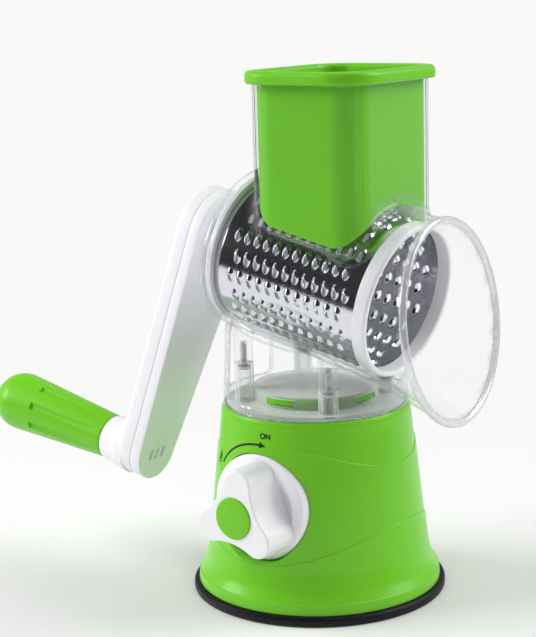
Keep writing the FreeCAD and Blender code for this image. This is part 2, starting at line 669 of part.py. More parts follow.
def make_return_spring():
    gap = s.seatGap + s.springWire
    coil = doc.addObject("Part::Helix", "Coil")
    bind(coil, "Pitch", s.springPitch)
    bind(coil, "Height", spring_top - yoke_top - 2 * gap)
    bind(coil, "Radius", s.springRadius)
    put(coil, z=yoke_top + gap)
    wire = doc.addObject("Part::Circle", "Wire")
    bind(wire, "Radius", s.springWire)
    put(wire, x=s.springRadius, z=yoke_top + gap, turn=90, about=X_AXIS)
    spring = doc.addObject("Part::Sweep", "Spring")
    spring.Sections = [wire]
    spring.Spine = (coil, ["Edge1"])
    spring.Solid = True
    spring.Frenet = True
    return kept("return_spring", spring)


# ---- the clear mount plate and the pedestal

collar_inner = s.spigotRadius + s.freeGap
collar_outer = collar_inner + s.collarWall
disc_radius = s.wallRadius - s.housingWall - s.freeGap
STANDOFFS = [(across, along, axis_height - (s.frontStandoffDrop if across > 0 else s.rearStandoffDrop))
             for across, along in DIAGONALS]


def barrel_cylinder(radius, back, front):
    """A cylinder on the drum's axis, from one distance behind the origin to one in front of it."""
    return in_barrel(cylinder(radius, back + front), along=-back)


def barrel_block(top, back, front, depth=LONG):
    """A wide box that hangs from a distance below the drum's axis."""
    brick = doc.addObject("Part::Box", "Box")
    bind(brick, "Length", depth)
    brick.Width = LONG
    bind(brick, "Height", back + front)
    return in_barrel(brick, down=top, side=-LONG / 2, along=-back)


def make_mount_plate():
    disc = tube(disc_radius, collar_inner, s.discThickness, z=s.deckTop)
    collar = tube(collar_outer, collar_inner, s.collarHeight, z=s.deckTop)
    window_width = s.lugWidth + 2 * s.windowMargin
    window_height = s.lugHeight + 2 * s.windowMargin
    window_bottom = s.deckTop + s.lugLift - s.windowMargin
    reach = 2 * (collar_outer + 1)
    windows = [block(reach, window_width, window_height, z=window_bottom),
               block(window_width, reach, window_height, z=window_bottom)]
    standoffs = [cylinder(s.standoffRadius, top - s.deckTop, x=s.bossPlace * across,
                          y=s.bossPlace * along, z=s.deckTop) for across, along, top in STANDOFFS]
    wells = [cylinder(s.screwHeadRadius + s.freeGap, top - s.standoffRoof - s.deckTop + 1,
                      x=s.bossPlace * across, y=s.bossPlace * along, z=s.deckTop - 1)
             for across, along, top in STANDOFFS]
    holes = [cylinder(s.screwRadius + s.seatGap, LONG, x=s.bossPlace * across,
                      y=s.bossPlace * along, z=s.deckTop) for across, along, top in STANDOFFS]
    trim = cylinder(collar_inner, s.deckTop + s.collarHeight)
    plate = cut(fused(disc, collar, *standoffs), trim, *windows, *wells, *holes)
    roof = cylinder(collar_inner + s.collarWall / 2, s.collarRoof,
                    z=s.deckTop + s.collarHeight - s.collarRoof)
    return kept("mount_plate", fused(plate, roof))


def make_housing_pedestal():
    wall_height = s.barrelRise
    outside = cone(s.wallRadius, s.wallTopRadius, wall_height, z=s.deckTop)
    inside = cone(s.wallRadius - s.housingWall, s.wallTopRadius - s.housingWall, wall_height,
                  z=s.deckTop)
    ring_top = s.deckTop + s.ringHeight
    under_head = barrel_block(s.windowHead, s.barrelBack, LONG)
    side_window = common(block(2 * s.sideWindowHalf, LONG, wall_height, z=ring_top), under_head)
    rear_window = common(block(LONG, 2 * s.rearWindowHalf, wall_height, x=-LONG / 2, z=ring_top),
                         under_head)
    wall = cut(cut(cut(outside, inside), side_window), rear_window)
    below = common(wall, barrel_block(s.ledgeDrop, s.barrelBack, LONG))
    ledge = common(outside, barrel_block(s.ledgeDrop, s.barrelBack, LONG, depth=s.housingWall))
    under_tube = cut(fused(below, ledge), barrel_cylinder(s.barrelRadius, s.barrelBack, s.flareStart))
    return kept("housing_pedestal", cut(under_tube, in_barrel(flare(0))))


def make_housing_screws():
    screws = [screw(s.housingScrewLength, x=s.bossPlace * across, y=s.bossPlace * along,
                    z=top - s.standoffRoof) for across, along, top in STANDOFFS]
    return kept("housing_screws", compound(screws))


# ---- the clear barrel with its mouth, and the hopper

hopper_half_length = s.pusherHalfLength + s.pusherPlay
hopper_half_width = s.pusherHalfWidth + s.pusherPlay
hopper_corner = s.pusherCorner + s.pusherPlay
neck_bore = s.hubRadius + s.fitGap


def mouth_ellipse(grow):
    """The mouth's outline, on its slanting plane, grown outwards."""
    oval = doc.addObject("Part::Ellipse", "Mouth")
    bind(oval, "MajorRadius", s.mouthHalfHeight + grow)
    bind(oval, "MinorRadius", s.mouthHalfWidth + grow)
    return put(oval, x=s.mouthDrop, z=s.mouthPlace, turn=-s.mouthLean, about=Y_AXIS)


def flare(grow):
    """The widening from the round barrel to the mouth."""
    ring = doc.addObject("Part::Circle", "FlareStart")
    bind(ring, "Radius", s.barrelRadius + grow)
    put(ring, z=s.flareStart)
    loft = doc.addObject("Part::Loft", "Flare")
    loft.Sections = [ring, mouth_ellipse(grow)]
    loft.Solid = True
    loft.Ruled = True
    return loft


def mouth_disc(grow, back, front):
    """An oval disc on the mouth's plane."""
    disc = doc.addObject("Part::Extrusion", "Disc")
    disc.Base = mouth_ellipse(grow)
    disc.DirMode = "Normal"
    disc.Solid = True
    bind(disc, "LengthFwd", front)
    bind(disc, "LengthRev", back)
    return disc


def hopper_prism(half_length, half_width, corner, top):
    """An upright prism from the barrel's axis to a height."""
    return rounded_block(half_length, half_width, corner, top - axis_height, x=s.hopperPlace,
                         z=axis_height)


def barrel_outside():
    """The barrel as a solid body, mouth and all."""
    tube_length = s.flareStart + s.barrelBack
    return in_barrel(fused(cylinder(s.barrelRadius, tube_length, z=-s.barrelBack), flare(0)))


def make_housing_barrel():
    tube_length = s.flareStart + s.barrelBack
    neck = in_barrel(cylinder(s.neckRadius, s.neckLength + s.rearWall),
                     along=-s.barrelBack - s.neckLength)
    bead = in_barrel(mouth_disc(s.rimProud, s.rimWidth / 2, s.rimWidth / 2))
    bosses = [cylinder(s.standoffRadius, axis_height - top, x=s.bossPlace * across,
                       y=s.bossPlace * along, z=top) for across, along, top in STANDOFFS]
    solid = fused(barrel_outside(), neck, bead, *bosses)
    hollow = in_barrel(fused(cylinder(s.barrelRadius - s.housingWall, tube_length - s.rearWall,
                                      z=s.rearWall - s.barrelBack), flare(-s.housingWall)))
    mouth = in_barrel(mouth_disc(-s.housingWall - s.rimLip, s.rimWidth, s.rimWidth))
    open_tube = cut(cut(solid, hollow), mouth)
    throat = hopper_prism(hopper_half_length, hopper_half_width, hopper_corner, s.hopperTop)
    pilots = [cylinder(s.screwRadius + s.seatGap, s.housingScrewLength, x=s.bossPlace * across,
                       y=s.bossPlace * along, z=top - s.standoffRoof)
              for across, along, top in STANDOFFS]
    neck_hole = barrel_cylinder(neck_bore, LONG, 0)
    return kept("housing_barrel", cut(cut(open_tube, throat), neck_hole, *pilots))


def make_housing_hopper():
    outside = hopper_prism(hopper_half_length + s.housingWall, hopper_half_width + s.housingWall,
                           hopper_corner + s.housingWall, s.hopperTop)
    inside = hopper_prism(hopper_half_length, hopper_half_width, hopper_corner, s.hopperTop + 1)
    return kept("housing_hopper", cut(outside, inside, barrel_outside()))


def make_pusher():
    rim_bottom = s.hopperTop + s.freeGap
    rim_top = rim_bottom + s.pusherRim
    outside = hopper_prism(s.pusherHalfLength, s.pusherHalfWidth, s.pusherCorner, rim_top)
    rim = rounded_block(s.pusherHalfLength + s.rimOverhang, s.pusherHalfWidth + s.rimOverhang,
                        s.pusherCorner + s.rimOverhang, s.pusherRim, x=s.hopperPlace, z=rim_bottom)
    inside = hopper_prism(s.pusherHalfLength - s.pusherWall, s.pusherHalfWidth - s.pusherWall,
                          s.pusherCorner - s.pusherWall, rim_top + 1)
    inside = cut(inside, barrel_cylinder(s.pusherBottom + s.pusherWall, LONG, LONG))
    below = barrel_cylinder(s.pusherBottom, LONG, LONG)
    return kept("pusher", cut(fused(outside, rim), inside, below))


# ---- the drum

shell_length = s.drumFront - s.ringLip + s.drumBack


def make_drum_staves():
    """The rolled sheet, in staves of two rows of teeth each. It is built from tiles, each with one
    tooth: a lip that rises out of the sheet over a hole. As many tiles as fit between the plain
    margins make a strip, and every second strip is shifted."""
    radius = number(s.drumRadius)
    inner = radius - number(s.drumSheet)
    length = number(shell_length)
    pitch = number(s.toothPitch)
    rows = round(number(s.toothRows))
    teeth = int((length - number(s.toothMargin) - number(s.toothMarginFront)) / pitch)
    sector = 360 / rows

    def plain(start, stop):
        strip = Part.makeCylinder(radius, stop - start, Vector(0, 0, start), Z_AXIS, sector)
        strip = strip.cut(Part.makeCylinder(inner, stop - start, Vector(0, 0, start), Z_AXIS, sector))
        strip.rotate(Vector(), Z_AXIS, -sector / 2)
        return strip

    width = number(s.toothWidth)
    run = number(s.toothRun)
    low = inner + (radius - inner) / 3
    lip = Part.makePolygon([Vector(low, -run, 0), Vector(radius, -run, 0),
                            Vector(radius + number(s.toothRise), 0, 0),
                            Vector(low + number(s.toothRise), 0, 0), Vector(low, -run, 0)])
    lip = Part.Face(lip).extrude(Vector(0, 0, width))
    lip.translate(Vector(0, 0, (pitch - width) / 2))
    hole = Part.makeBox(radius, number(s.holeLength), number(s.holeWidth),
                        Vector(inner - 1, -number(s.holeUnder), (pitch - number(s.holeWidth)) / 2))
    tile = plain(0, pitch).cut(hole).fuse(lip)

    def strip_from(first):
        tiles = [plain(0, first), plain(first + teeth * pitch, length)]
        for tooth in range(teeth):
            copy = tile.copy()
            copy.translate(Vector(0, 0, first + tooth * pitch))
            tiles.append(copy)
        return tiles[0].multiFuse(tiles[1:])

    strips = [strip_from(number(s.toothMargin)), strip_from(number(s.toothMargin) - pitch / 2)]
    for stave in range(rows // 2):
        start = number(s.toothPhase) + 2 * stave * sector
        pair = [strip.copy() for strip in strips]
        pair[0].rotate(Vector(), Z_AXIS, start)
        pair[1].rotate(Vector(), Z_AXIS, start + sector)
        shape = pair[0].fuse(pair[1])
        kept(f"drum_stave_{stave + 1}", in_barrel(coded(shape), along=-s.drumBack))


def make_drum_front_ring():
    seat = s.drumRadius + s.seatGap
    lip_back = s.drumFront - s.ringLip
    ring_back = s.drumFront - s.ringWidth
    profile = [(seat, ring_back), (s.ringOuter, ring_back), (s.ringOuter, s.drumFront),
               (s.ringInner, s.drumFront), (s.ringInner, lip_back), (seat, lip_back)]
    return kept("drum_front_ring", in_barrel(turned(profile)))


def make_drum_rear_cap():
    sleeve = s.drumRadius - s.drumSheet - s.seatGap
    flange_back = -s.drumBack - s.capFlange
    hub_back = flange_back - s.hubLength
    profile = [(0, hub_back), (s.hubRadius, hub_back), (s.hubRadius, flange_back),
               (s.ringOuter, flange_back), (s.ringOuter, -s.drumBack), (sleeve, -s.drumBack),
               (sleeve, s.capSleeve - s.drumBack), (sleeve - s.capWeb, s.capSleeve - s.drumBack),
               (sleeve - s.capWeb, flange_back + s.capWeb), (0, flange_back + s.capWeb)]
    side = 2 * (s.squareHalf + s.squarePlay)
    socket = block(side, side, s.hubLength + 1, z=hub_back - 1)
    return kept("drum_rear_cap", in_barrel(cut(turned(profile), socket)))


# ---- the crank

cover_back = -s.armInner - s.coverThickness
arm_back = -arm_outer
boss_front = cover_back - s.spindleFlangeWidth - s.freeGap


def arm_prism(grow, back, front):
    """The arm's outline, two arcs joined by tangent lines, padded between two distances."""
    hub = number(s.armHubRadius) + grow
    end = number(s.armEndRadius) + grow
    length = number(s.armLength)
    angle = math.radians(number(s.armAngle))
    back, front = number(back), number(front)
    along = Vector(math.cos(angle), -math.sin(angle), 0)
    across = Vector(math.sin(angle), math.cos(angle), 0)
    lean = (hub - end) / length
    level = math.sqrt(1 - lean ** 2)
    far = along * length
    starts = [along * (hub * lean) + across * (side * hub * level) for side in (1, -1)]
    stops = [far + along * (end * lean) + across * (side * end * level) for side in (1, -1)]
    edges = [Part.Arc(starts[0], along * -hub, starts[1]).toShape(),
             Part.LineSegment(starts[1], stops[1]).toShape(),
             Part.Arc(stops[1], far + along * end, stops[0]).toShape(),
             Part.LineSegment(stops[0], starts[0]).toShape()]
    face = Part.Face(Part.Wire(edges))
    face.translate(Vector(0, 0, back))
    return coded(face.extrude(Vector(0, 0, front - back)))


# The axle's head sits on the arm's inner boss, this far inside the arm's outer face.
head_place = s.armWall + s.armThickness / 3


def on_axle(thing, away=0):
    """Places a piece drawn along the grip into the crank's drawing, away from the arm's face."""
    lean = s.gripLean
    return put(thing, x=grip_down + away * sine(lean), y=-arm_side, z=arm_back - away * cosine(lean),
               turn=180 - lean, about=Y_AXIS)


def make_crank_shell():
    wall = number(s.armWall)
    hollow = arm_prism(-wall, arm_back + s.armWall, cover_back + 1)
    boss_length = boss_front - arm_back - s.armWall
    hub_boss = cylinder(s.armBossRadius, boss_length, z=arm_back + s.armWall)
    end_boss = cylinder(s.armBossRadius, s.armThickness / 3, x=grip_down, y=-arm_side,
                        z=arm_back + s.armWall)
    collar = on_axle(cone(s.collarFoot, s.collarEnd, s.collarLength + 1), away=-1)
    shell = fused(cut(arm_prism(0, arm_back, cover_back), hollow), hub_boss, end_boss, collar)
    tail_bore = cylinder(s.tailRadius + s.seatGap, s.tailLength + s.freeGap,
                         z=boss_front - s.tailLength - s.freeGap)
    axle_bore = on_axle(cylinder(s.axleRadius + s.seatGap, LONG), away=-LONG / 2)
    head_seat = on_axle(cylinder(s.axleHead + s.seatGap, LONG), away=-head_place - LONG)
    return kept("crank_shell", in_barrel(cut(shell, tail_bore, axle_bore, head_seat)))


def make_crank_cover():
    plate = arm_prism(0, cover_back, -s.armInner)
    pad = cylinder(s.neckRadius, s.armHubLift + 1, z=-s.armInner - 1)
    side = 2 * (s.squareHalf + s.seatGap)
    count = round(number(s.ventCount))
    vents = []
    for place in range(count):
        shift = s.ventPitch * (place - (count - 1) / 2)
        vent = block(s.ventLength, s.ventWidth, LONG)
        run, rise = cosine(s.ventLean), sine(s.ventLean)
        corner = (arm_down - run * s.ventLength / 2 - rise * s.ventWidth / 2,
                  -arm_side + shift + rise * s.ventLength / 2 - run * s.ventWidth / 2)
        vents.append(put(vent, x=corner[0], y=corner[1], z=-LONG, turn=-s.ventLean))
    plate = cut(fused(plate, pad), block(side, side, LONG, z=-LONG), *vents)
    return kept("crank_cover", in_barrel(plate))


def make_drive_spindle():
    square = block(2 * s.squareHalf, 2 * s.squareHalf, s.squareLength + s.coverThickness, z=cover_back)
    flange = cylinder(s.spindleFlange, s.spindleFlangeWidth, z=cover_back - s.spindleFlangeWidth)
    tail_back = boss_front - s.tailLength
    tail = cylinder(s.tailRadius, cover_back - tail_back, z=tail_back)
    return kept("drive_spindle", in_barrel(fused(square, flange, tail)))


def make_grip_axle():
    head = cylinder(s.axleHead, s.axleHeadWidth, z=-head_place - s.axleHeadWidth)
    rod = cylinder(s.axleRadius, s.axleLength + head_place, z=-head_place)
    pilot = cylinder(s.screwRadius + s.seatGap, s.gripScrewLength + 1,
                     z=s.axleLength - s.gripScrewLength)
    return kept("grip_axle", in_grip(cut(fused(head, rod), pilot)))


# ---- the grip

grip_start = s.collarLength + s.freeGap
grip_stop = grip_start + s.gripLength
shoulder = s.axleLength - s.freeGap


def make_grip_washer():
    bore = s.screwRadius + s.seatGap
    top = s.axleLength + s.washerWidth
    profile = [(bore, s.axleLength), (s.washerRadius, s.axleLength), (s.washerRadius, top), (bore, top)]
    return kept("grip_washer", in_grip(turned(profile)))


def make_grip_screw():
    return kept("grip_screw", in_grip(screw(s.gripScrewLength), away=s.axleLength + s.washerWidth,
                                      back=180))


def make_grip():
    """The grip runs on its axle between the collar and the washer, which holds its shoulder."""
    bore = s.axleRadius + s.fitGap
    profile = [(bore, grip_start), (s.gripNeck - s.freeGap, grip_start), (s.gripNeck, grip_start + 1),
               (s.gripBelly, grip_stop), (s.gripBore, grip_stop), (s.gripBore, shoulder), (bore, shoulder)]
    # The flutes run straight while the grip widens, so each cuts deeper towards the thick end.
    widening = number(s.gripBelly - s.gripNeck) / number(s.gripLength)
    slope = math.degrees(math.atan(widening - number(s.fluteDepth) / number(s.fluteLength)))
    flutes = []
    for turn in range(round(number(s.fluteCount))):
        flute = cylinder(s.fluteRadius, s.fluteLength, x=s.gripNeck + s.fluteRadius, z=grip_start + 1,
                         turn=slope, about=Y_AXIS)
        flutes.append(put(compound([flute]), turn=turn * 360 / number(s.fluteCount)))
    return kept("grip", in_grip(cut(turned(profile), *flutes)))


def make_grip_cap():
    """The domed end: its section is a quarter of an oval, from the belly to a small flat."""
    spigot = s.gripBore - s.seatGap
    profile = [(0, grip_stop - s.capSpigot), (spigot, grip_stop - s.capSpigot), (spigot, grip_stop)]
    steps = 6
    for step in range(steps + 1):
        angle = math.radians(90 * step / steps)
        profile.append((s.gripCapFlat + (s.gripBelly - s.gripCapFlat) * math.cos(angle),
                        grip_stop + s.gripCapLength * math.sin(angle)))
    profile.append((0, grip_stop + s.gripCapLength))
    return kept("grip_cap", in_grip(turned(profile)))


for make in (make_suction_pad, make_base_shell, make_retainer_plate, make_retainer_screws,
             make_knob, make_knob_cap, make_knob_screw, make_cam_shaft, make_lifter,
             make_return_spring, make_mount_plate, make_housing_pedestal, make_housing_barrel,
             make_housing_hopper, make_housing_screws, make_pusher, make_drum_staves,
             make_drum_front_ring, make_drum_rear_cap, make_crank_shell, make_crank_cover,
             make_drive_spindle, make_grip_axle, make_grip_washer, make_grip_screw, make_grip,
             make_grip_cap):
    make()


# ---- rebuild, check and write

doc.recompute()
failed = [thing.Name for thing in doc.Objects if "Invalid" in thing.State or "Error" in thing.State]
if failed:
    raise RuntimeError("these features failed: " + ", ".join(failed))
for piece in subparts:
    if piece.Shape.isNull() or not piece.Shape.isValid() or not piece.Shape.Solids:
        raise RuntimeError(f"{piece.Label} has no sound shape")

os.makedirs("parts", exist_ok=True)
for piece in subparts:
    piece.Shape.exportStep(f"parts/{piece.Label}.step")
    print(f"{piece.Label}: {len(piece.Shape.Solids)} solid(s), {piece.Shape.Volume:.0f} cubic mm")
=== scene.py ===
import math

import bmesh
import bpy
import numpy as np
from mathutils import Euler, Matrix, Vector


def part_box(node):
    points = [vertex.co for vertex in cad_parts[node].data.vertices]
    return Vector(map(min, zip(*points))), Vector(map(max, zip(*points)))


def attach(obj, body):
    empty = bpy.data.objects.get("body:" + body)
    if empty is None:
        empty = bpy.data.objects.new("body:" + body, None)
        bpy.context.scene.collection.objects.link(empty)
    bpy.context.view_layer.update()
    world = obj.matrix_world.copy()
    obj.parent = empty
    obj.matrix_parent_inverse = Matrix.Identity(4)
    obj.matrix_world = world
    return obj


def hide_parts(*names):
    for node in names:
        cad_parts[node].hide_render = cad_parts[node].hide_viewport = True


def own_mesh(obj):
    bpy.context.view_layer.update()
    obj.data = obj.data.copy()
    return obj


# Hand-cranked drum grater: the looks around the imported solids. Shapes are worked out in
# millimetres, and makePiece turns them into metres.
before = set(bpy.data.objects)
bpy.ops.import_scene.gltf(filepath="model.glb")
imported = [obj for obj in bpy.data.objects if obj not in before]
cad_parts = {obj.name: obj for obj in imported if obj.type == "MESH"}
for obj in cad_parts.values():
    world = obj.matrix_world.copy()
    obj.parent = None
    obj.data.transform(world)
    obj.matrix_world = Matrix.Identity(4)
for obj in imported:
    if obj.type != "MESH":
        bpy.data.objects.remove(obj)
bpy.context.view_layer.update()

barrelAxis = {"height": 159.1, "tilt": math.radians(12.4)}
knobAxis = {"height": 51.5}


def fromBarrel(side, up, along):
    # A point of the drum's frame: along its axis towards the mouth, up square to it, side is +Y.
    fall, run = math.sin(barrelAxis["tilt"]), math.cos(barrelAxis["tilt"])
    return np.stack([run * along + fall * up, side + 0 * up,
                     barrelAxis["height"] - fall * along + run * up], -1)


def fromKnob(right, up, out):
    # A point of the knob's frame: out of the base's front, which is -Y.
    return np.stack([right, -out + 0 * right, knobAxis["height"] + up], -1)


def upright(x, y, z):
    return np.stack([x, y, z], -1)


def roundedProfile(corners, steps=5, closed=False):
    # Each corner (x, y, radius) becomes an arc that touches both its sides. Its centre lies on the
    # bisector, radius / sin(half the corner's angle) away from the corner.
    points = []
    for place, (x, y, radius) in enumerate(corners):
        here = np.array([x, y], float)
        if radius == 0 or (not closed and place in (0, len(corners) - 1)):
            points.append(here[None])
            continue
        before = np.array(corners[place - 1][:2], float) - here
        after = np.array(corners[(place + 1) % len(corners)][:2], float) - here
        before, after = before / np.linalg.norm(before), after / np.linalg.norm(after)
        bisector = before + after
        half = math.acos(float(np.clip(before @ after, -1, 1))) / 2
        centre = here + bisector / np.linalg.norm(bisector) * radius / math.sin(half)
        first = here + before * radius / math.tan(half) - centre
        last = here + after * radius / math.tan(half) - centre
        share = np.linspace(0, 1, steps + 1)[:, None]
        spread = math.pi - 2 * half
        arc = (np.sin((1 - share) * spread) * first + np.sin(share * spread) * last) / math.sin(spread)
        points.append(centre + arc)
    return np.concatenate(points)


def fullTurn(count):
    return np.linspace(0, 2 * math.pi, count, endpoint=False)


def lathe(rows, place, columns=96):
    # Turns rows of (radius, height) about the height axis of a frame. Either may be one number, or an
    # array with a value for every column.
    turn = fullTurn(columns)
    radius, height = [np.array([row[part] + 0 * turn for row in rows]) for part in (0, 1)]
    return place(radius * np.cos(turn), radius * np.sin(turn), height)


def gridFaces(rows, columns, loopRows=False, loopColumns=True):
    # The quads of a grid of points, row by row, joined round where a direction closes.
    index = np.arange(rows * columns).reshape(rows, columns)
    if loopRows:
        index = np.vstack([index, index[:1]])
    if loopColumns:
        index = np.hstack([index, index[:, :1]])
    return np.stack([index[:-1, :-1], index[:-1, 1:], index[1:, 1:], index[1:, :-1]], -1).reshape(-1, 4)


def sheetOf(points, loopRows=False, loopColumns=True):
    rows, columns = points.shape[:2]
    return points, gridFaces(rows, columns, loopRows, loopColumns).tolist()


def makePiece(name, blocks, finish, body, replaced=(), crease=38, weld=True):
    # One object from blocks of (points, faces) in millimetres. It stays at the origin.
    points = np.concatenate([np.reshape(spots, (-1, 3)) for spots, _ in blocks]) * 0.001
    faces, start = [], 0
    for spots, quads in blocks:
        faces += [[corner + start for corner in quad] for quad in quads]
        start += np.reshape(spots, (-1, 3)).shape[0]
    mesh = bpy.data.meshes.new(name)
    mesh.from_pydata(points.tolist(), [], faces)
    if weld:
        shape = bmesh.new()
        shape.from_mesh(mesh)
        bmesh.ops.remove_doubles(shape, verts=shape.verts, dist=1e-6)
        bmesh.ops.recalc_face_normals(shape, faces=shape.faces)
        shape.to_mesh(mesh)
        shape.free()
    mesh.shade_smooth()
    mesh.set_sharp_from_angle(angle=math.radians(crease))
    piece = bpy.data.objects.new(name, mesh)
    bpy.context.scene.collection.objects.link(piece)
    piece.data.materials.append(finish["material"])
    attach(piece, body)
    if replaced:
        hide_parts(*replaced)
    return piece


def feed(tree, node, inputs):
    # Each named or numbered input takes a value or another node's output.
    for name, value in inputs.items():
        if isinstance(value, bpy.types.NodeSocket):
            tree.links.new(value, node.inputs[name])
        else:
            node.inputs[name].default_value = value


def shaderNode(tree, kind, inputs=None, **settings):
    node = tree.nodes.new("ShaderNode" + kind)
    for setting, value in settings.items():
        setattr(node, setting, value)
    feed(tree, node, inputs or {})
    return node


def mathNode(tree, operation, *inputs):
    return shaderNode(tree, "Math", dict(enumerate(inputs)), operation=operation).outputs[0]


# What every finish shares: how fine its mottling is, and how deep its relief, in metres.
surface = {"cloudScale": 28, "cloudDetail": 3, "grainDetail": 2, "bumpDistance": 0.0002,
           "coatRoughness": 0.08}


def makeMouldedGroup():
    # Fine variation of a moulded or rolled surface: a tint of colour * (1 + mottle * (cloud - 0.5)),
    # a shine of roughness + rub * (cloud + grain - 1), and the grain as the height for a bump.
    tree = bpy.data.node_groups.new("surfaceLife", "ShaderNodeTree")
    sockets = {"INPUT": (("Colour", "Color"), ("Mottle", "Float"), ("Roughness", "Float"),
                         ("Rub", "Float"), ("Grain", "Float"), ("Stretch", "Vector")),
               "OUTPUT": (("Tint", "Color"), ("Shine", "Float"), ("Height", "Float"))}
    for side, made in sockets.items():
        for name, kind in made:
            tree.interface.new_socket(name=name, in_out=side, socket_type="NodeSocket" + kind)
    given = tree.nodes.new("NodeGroupInput").outputs
    place = shaderNode(tree, "TexCoord").outputs["Object"]
    stretched = shaderNode(tree, "VectorMath", {0: place, 1: given["Stretch"]}, operation="MULTIPLY")
    cloud, grain = [shaderNode(tree, "TexNoise", {
        "Vector": stretched.outputs[0], "Scale": scale, "Detail": detail}).outputs["Fac"]
        for scale, detail in ((surface["cloudScale"], surface["cloudDetail"]),
                              (given["Grain"], surface["grainDetail"]))]
    centred = mathNode(tree, "SUBTRACT", cloud, 0.5)
    bright = mathNode(tree, "ADD", mathNode(tree, "MULTIPLY", centred, given["Mottle"]), 1.0)
    tint = shaderNode(tree, "VectorMath", {0: given["Colour"], "Scale": bright}, operation="SCALE")
    both = mathNode(tree, "SUBTRACT", mathNode(tree, "ADD", cloud, grain), 1.0)
    shine = mathNode(tree, "MULTIPLY_ADD", both, given["Rub"], given["Roughness"])
    feed(tree, tree.nodes.new("NodeGroupOutput"), {
        "Tint": tint.outputs[0], "Shine": shine, "Height": grain})
    return tree


surfaceLife = makeMouldedGroup()


def makeFinish(name, slot, look):
    # A Principled surface whose tint, roughness and bump come from the shared group.
    material = bpy.data.materials.new(name)
    material.use_nodes = True
    tree = material.node_tree
    life = shaderNode(tree, "Group", {
        "Colour": (*look["colour"], 1), "Mottle": look["mottle"], "Roughness": look["roughness"],
        "Rub": look["rub"], "Grain": look["grain"], "Stretch": look.get("stretch", (1, 1, 1))},
        node_tree=surfaceLife).outputs
    bump = shaderNode(tree, "Bump", {
        "Strength": look["bump"], "Distance": surface["bumpDistance"], "Height": life["Height"]})
    feed(tree, tree.nodes["Principled BSDF"], {
        "Base Color": life["Tint"], "Roughness": life["Shine"], "Normal": bump.outputs["Normal"],
        "Metallic": look.get("metallic", 0), "Coat Weight": look.get("coat", 0),
        "Coat Roughness": surface["coatRoughness"], "IOR": look.get("ior", 1.5)})
    return {"material": material, "slot": slot}


def makeClearFinish(name, slot, look):
    # Clear plastic: see-through where it faces the eye, and glossy and a little milky towards its
    # edges and where the piece's bend attribute says that it curves tightly. Its share of surface is
    # mirror + edge * facing^5 + milk * facing^power + bend * (bead + bead * facing), and facing is the
    # same on a face's front and back.
    finish = makeFinish(name, slot, {"mottle": 0.02, "rub": 0.02, "grain": 90, "bump": 0.02, **look})
    tree = finish["material"].node_tree
    facing = shaderNode(tree, "LayerWeight", {"Blend": 0.5}).outputs["Facing"]
    bend = shaderNode(tree, "Attribute", attribute_name="bend").outputs["Fac"]
    fifth = mathNode(tree, "POWER", facing, 5)
    mirror = mathNode(tree, "MULTIPLY_ADD", fifth, look["edge"], look["mirror"])
    bead = mathNode(tree, "MULTIPLY_ADD", facing, look["bead"], look["bead"])
    glossy = mathNode(tree, "MULTIPLY_ADD", bead, bend, mirror)
    milky = mathNode(tree, "POWER", facing, look["power"])
    share = shaderNode(tree, "Math", {0: milky, 1: look["milk"], 2: glossy}, operation="MULTIPLY_ADD",
                       use_clamp=True)
    through = shaderNode(tree, "BsdfTransparent", {"Color": look["tint"]})
    mix = shaderNode(tree, "MixShader", {0: share.outputs[0], 1: through.outputs[0],
                                         2: tree.nodes["Principled BSDF"].outputs[0]})
    feed(tree, tree.nodes["Material Output"], {"Surface": mix.outputs[0]})
    return finish


greenPlastic = makeFinish("greenPlastic", "green_plastic", {
    "colour": (0.17, 0.59, 0.016), "mottle": 0.07, "roughness": 0.32, "rub": 0.07, "grain": 1400,
    "bump": 0.05, "coat": 0.1, "ior": 1.38})
whitePlastic = makeFinish("whitePlastic", "white_plastic", {
    "colour": (0.93, 0.92, 0.96), "mottle": 0.04, "roughness": 0.34, "rub": 0.08, "grain": 1300,
    "bump": 0.05, "coat": 0.2})
drumSteel = makeFinish("drumSteel", "drum_steel", {
    "colour": (0.80, 0.80, 0.86), "mottle": 0.10, "roughness": 0.13, "rub": 0.07, "grain": 500,
    "bump": 0.10, "metallic": 1, "stretch": (1, 1, 4)})
screwSteel = makeFinish("screwSteel", "screw_steel", {
    "colour": (0.74, 0.74, 0.76), "mottle": 0.2, "roughness": 0.32, "rub": 0.12, "grain": 1500,
    "bump": 0.1, "metallic": 0.85})
footRubber = makeFinish("footRubber", "rubber", {
    "colour": (0.005, 0.005, 0.008), "mottle": 0.25, "roughness": 0.5, "rub": 0.18, "grain": 1100,
    "bump": 0.25, "ior": 1.35})
clearPlastic = makeClearFinish("clearPlastic", "clear_plastic", {
    "colour": (0.82, 0.83, 0.87), "roughness": 0.06, "metallic": 0.55, "mirror": 0.012, "edge": 0.8,
    "milk": 0.10, "power": 4, "bead": 0.22, "tint": (0.988, 0.994, 0.992, 1)})
rimPlastic = makeClearFinish("rimPlastic", "clear_plastic", {
    "colour": (0.90, 0.90, 0.93), "roughness": 0.10, "metallic": 0.3, "mirror": 0.30, "edge": 0.6,
    "milk": 0.35, "power": 2, "bead": 0, "tint": (0.98, 0.985, 0.985, 1)})
# A milkier, paler copy of the clear finish for the mount plate. Its paleness is painted light, which
# lifts the plate out of the shade that the drum casts on it.
shadeLiftedClearPlastic = makeClearFinish("shadeLiftedClearPlastic", "clear_plastic", {
    "colour": (0.95, 0.965, 0.955), "roughness": 0.16, "metallic": 0, "mirror": 0.10, "edge": 0.5,
    "milk": 0.55, "power": 1.1, "bead": 0, "tint": (0.985, 0.992, 0.99, 1)})
printInk = makeFinish("printInk", "rubber", {
    "colour": (0.006, 0.012, 0.008), "mottle": 0.2, "roughness": 0.45, "rub": 0.1, "grain": 1800,
    "bump": 0.1})
print("finishes ready")


def makeCutter(blocks):
    cutter = makePiece("cutter", blocks, greenPlastic, "base")
    cutter.hide_render = True
    return cutter


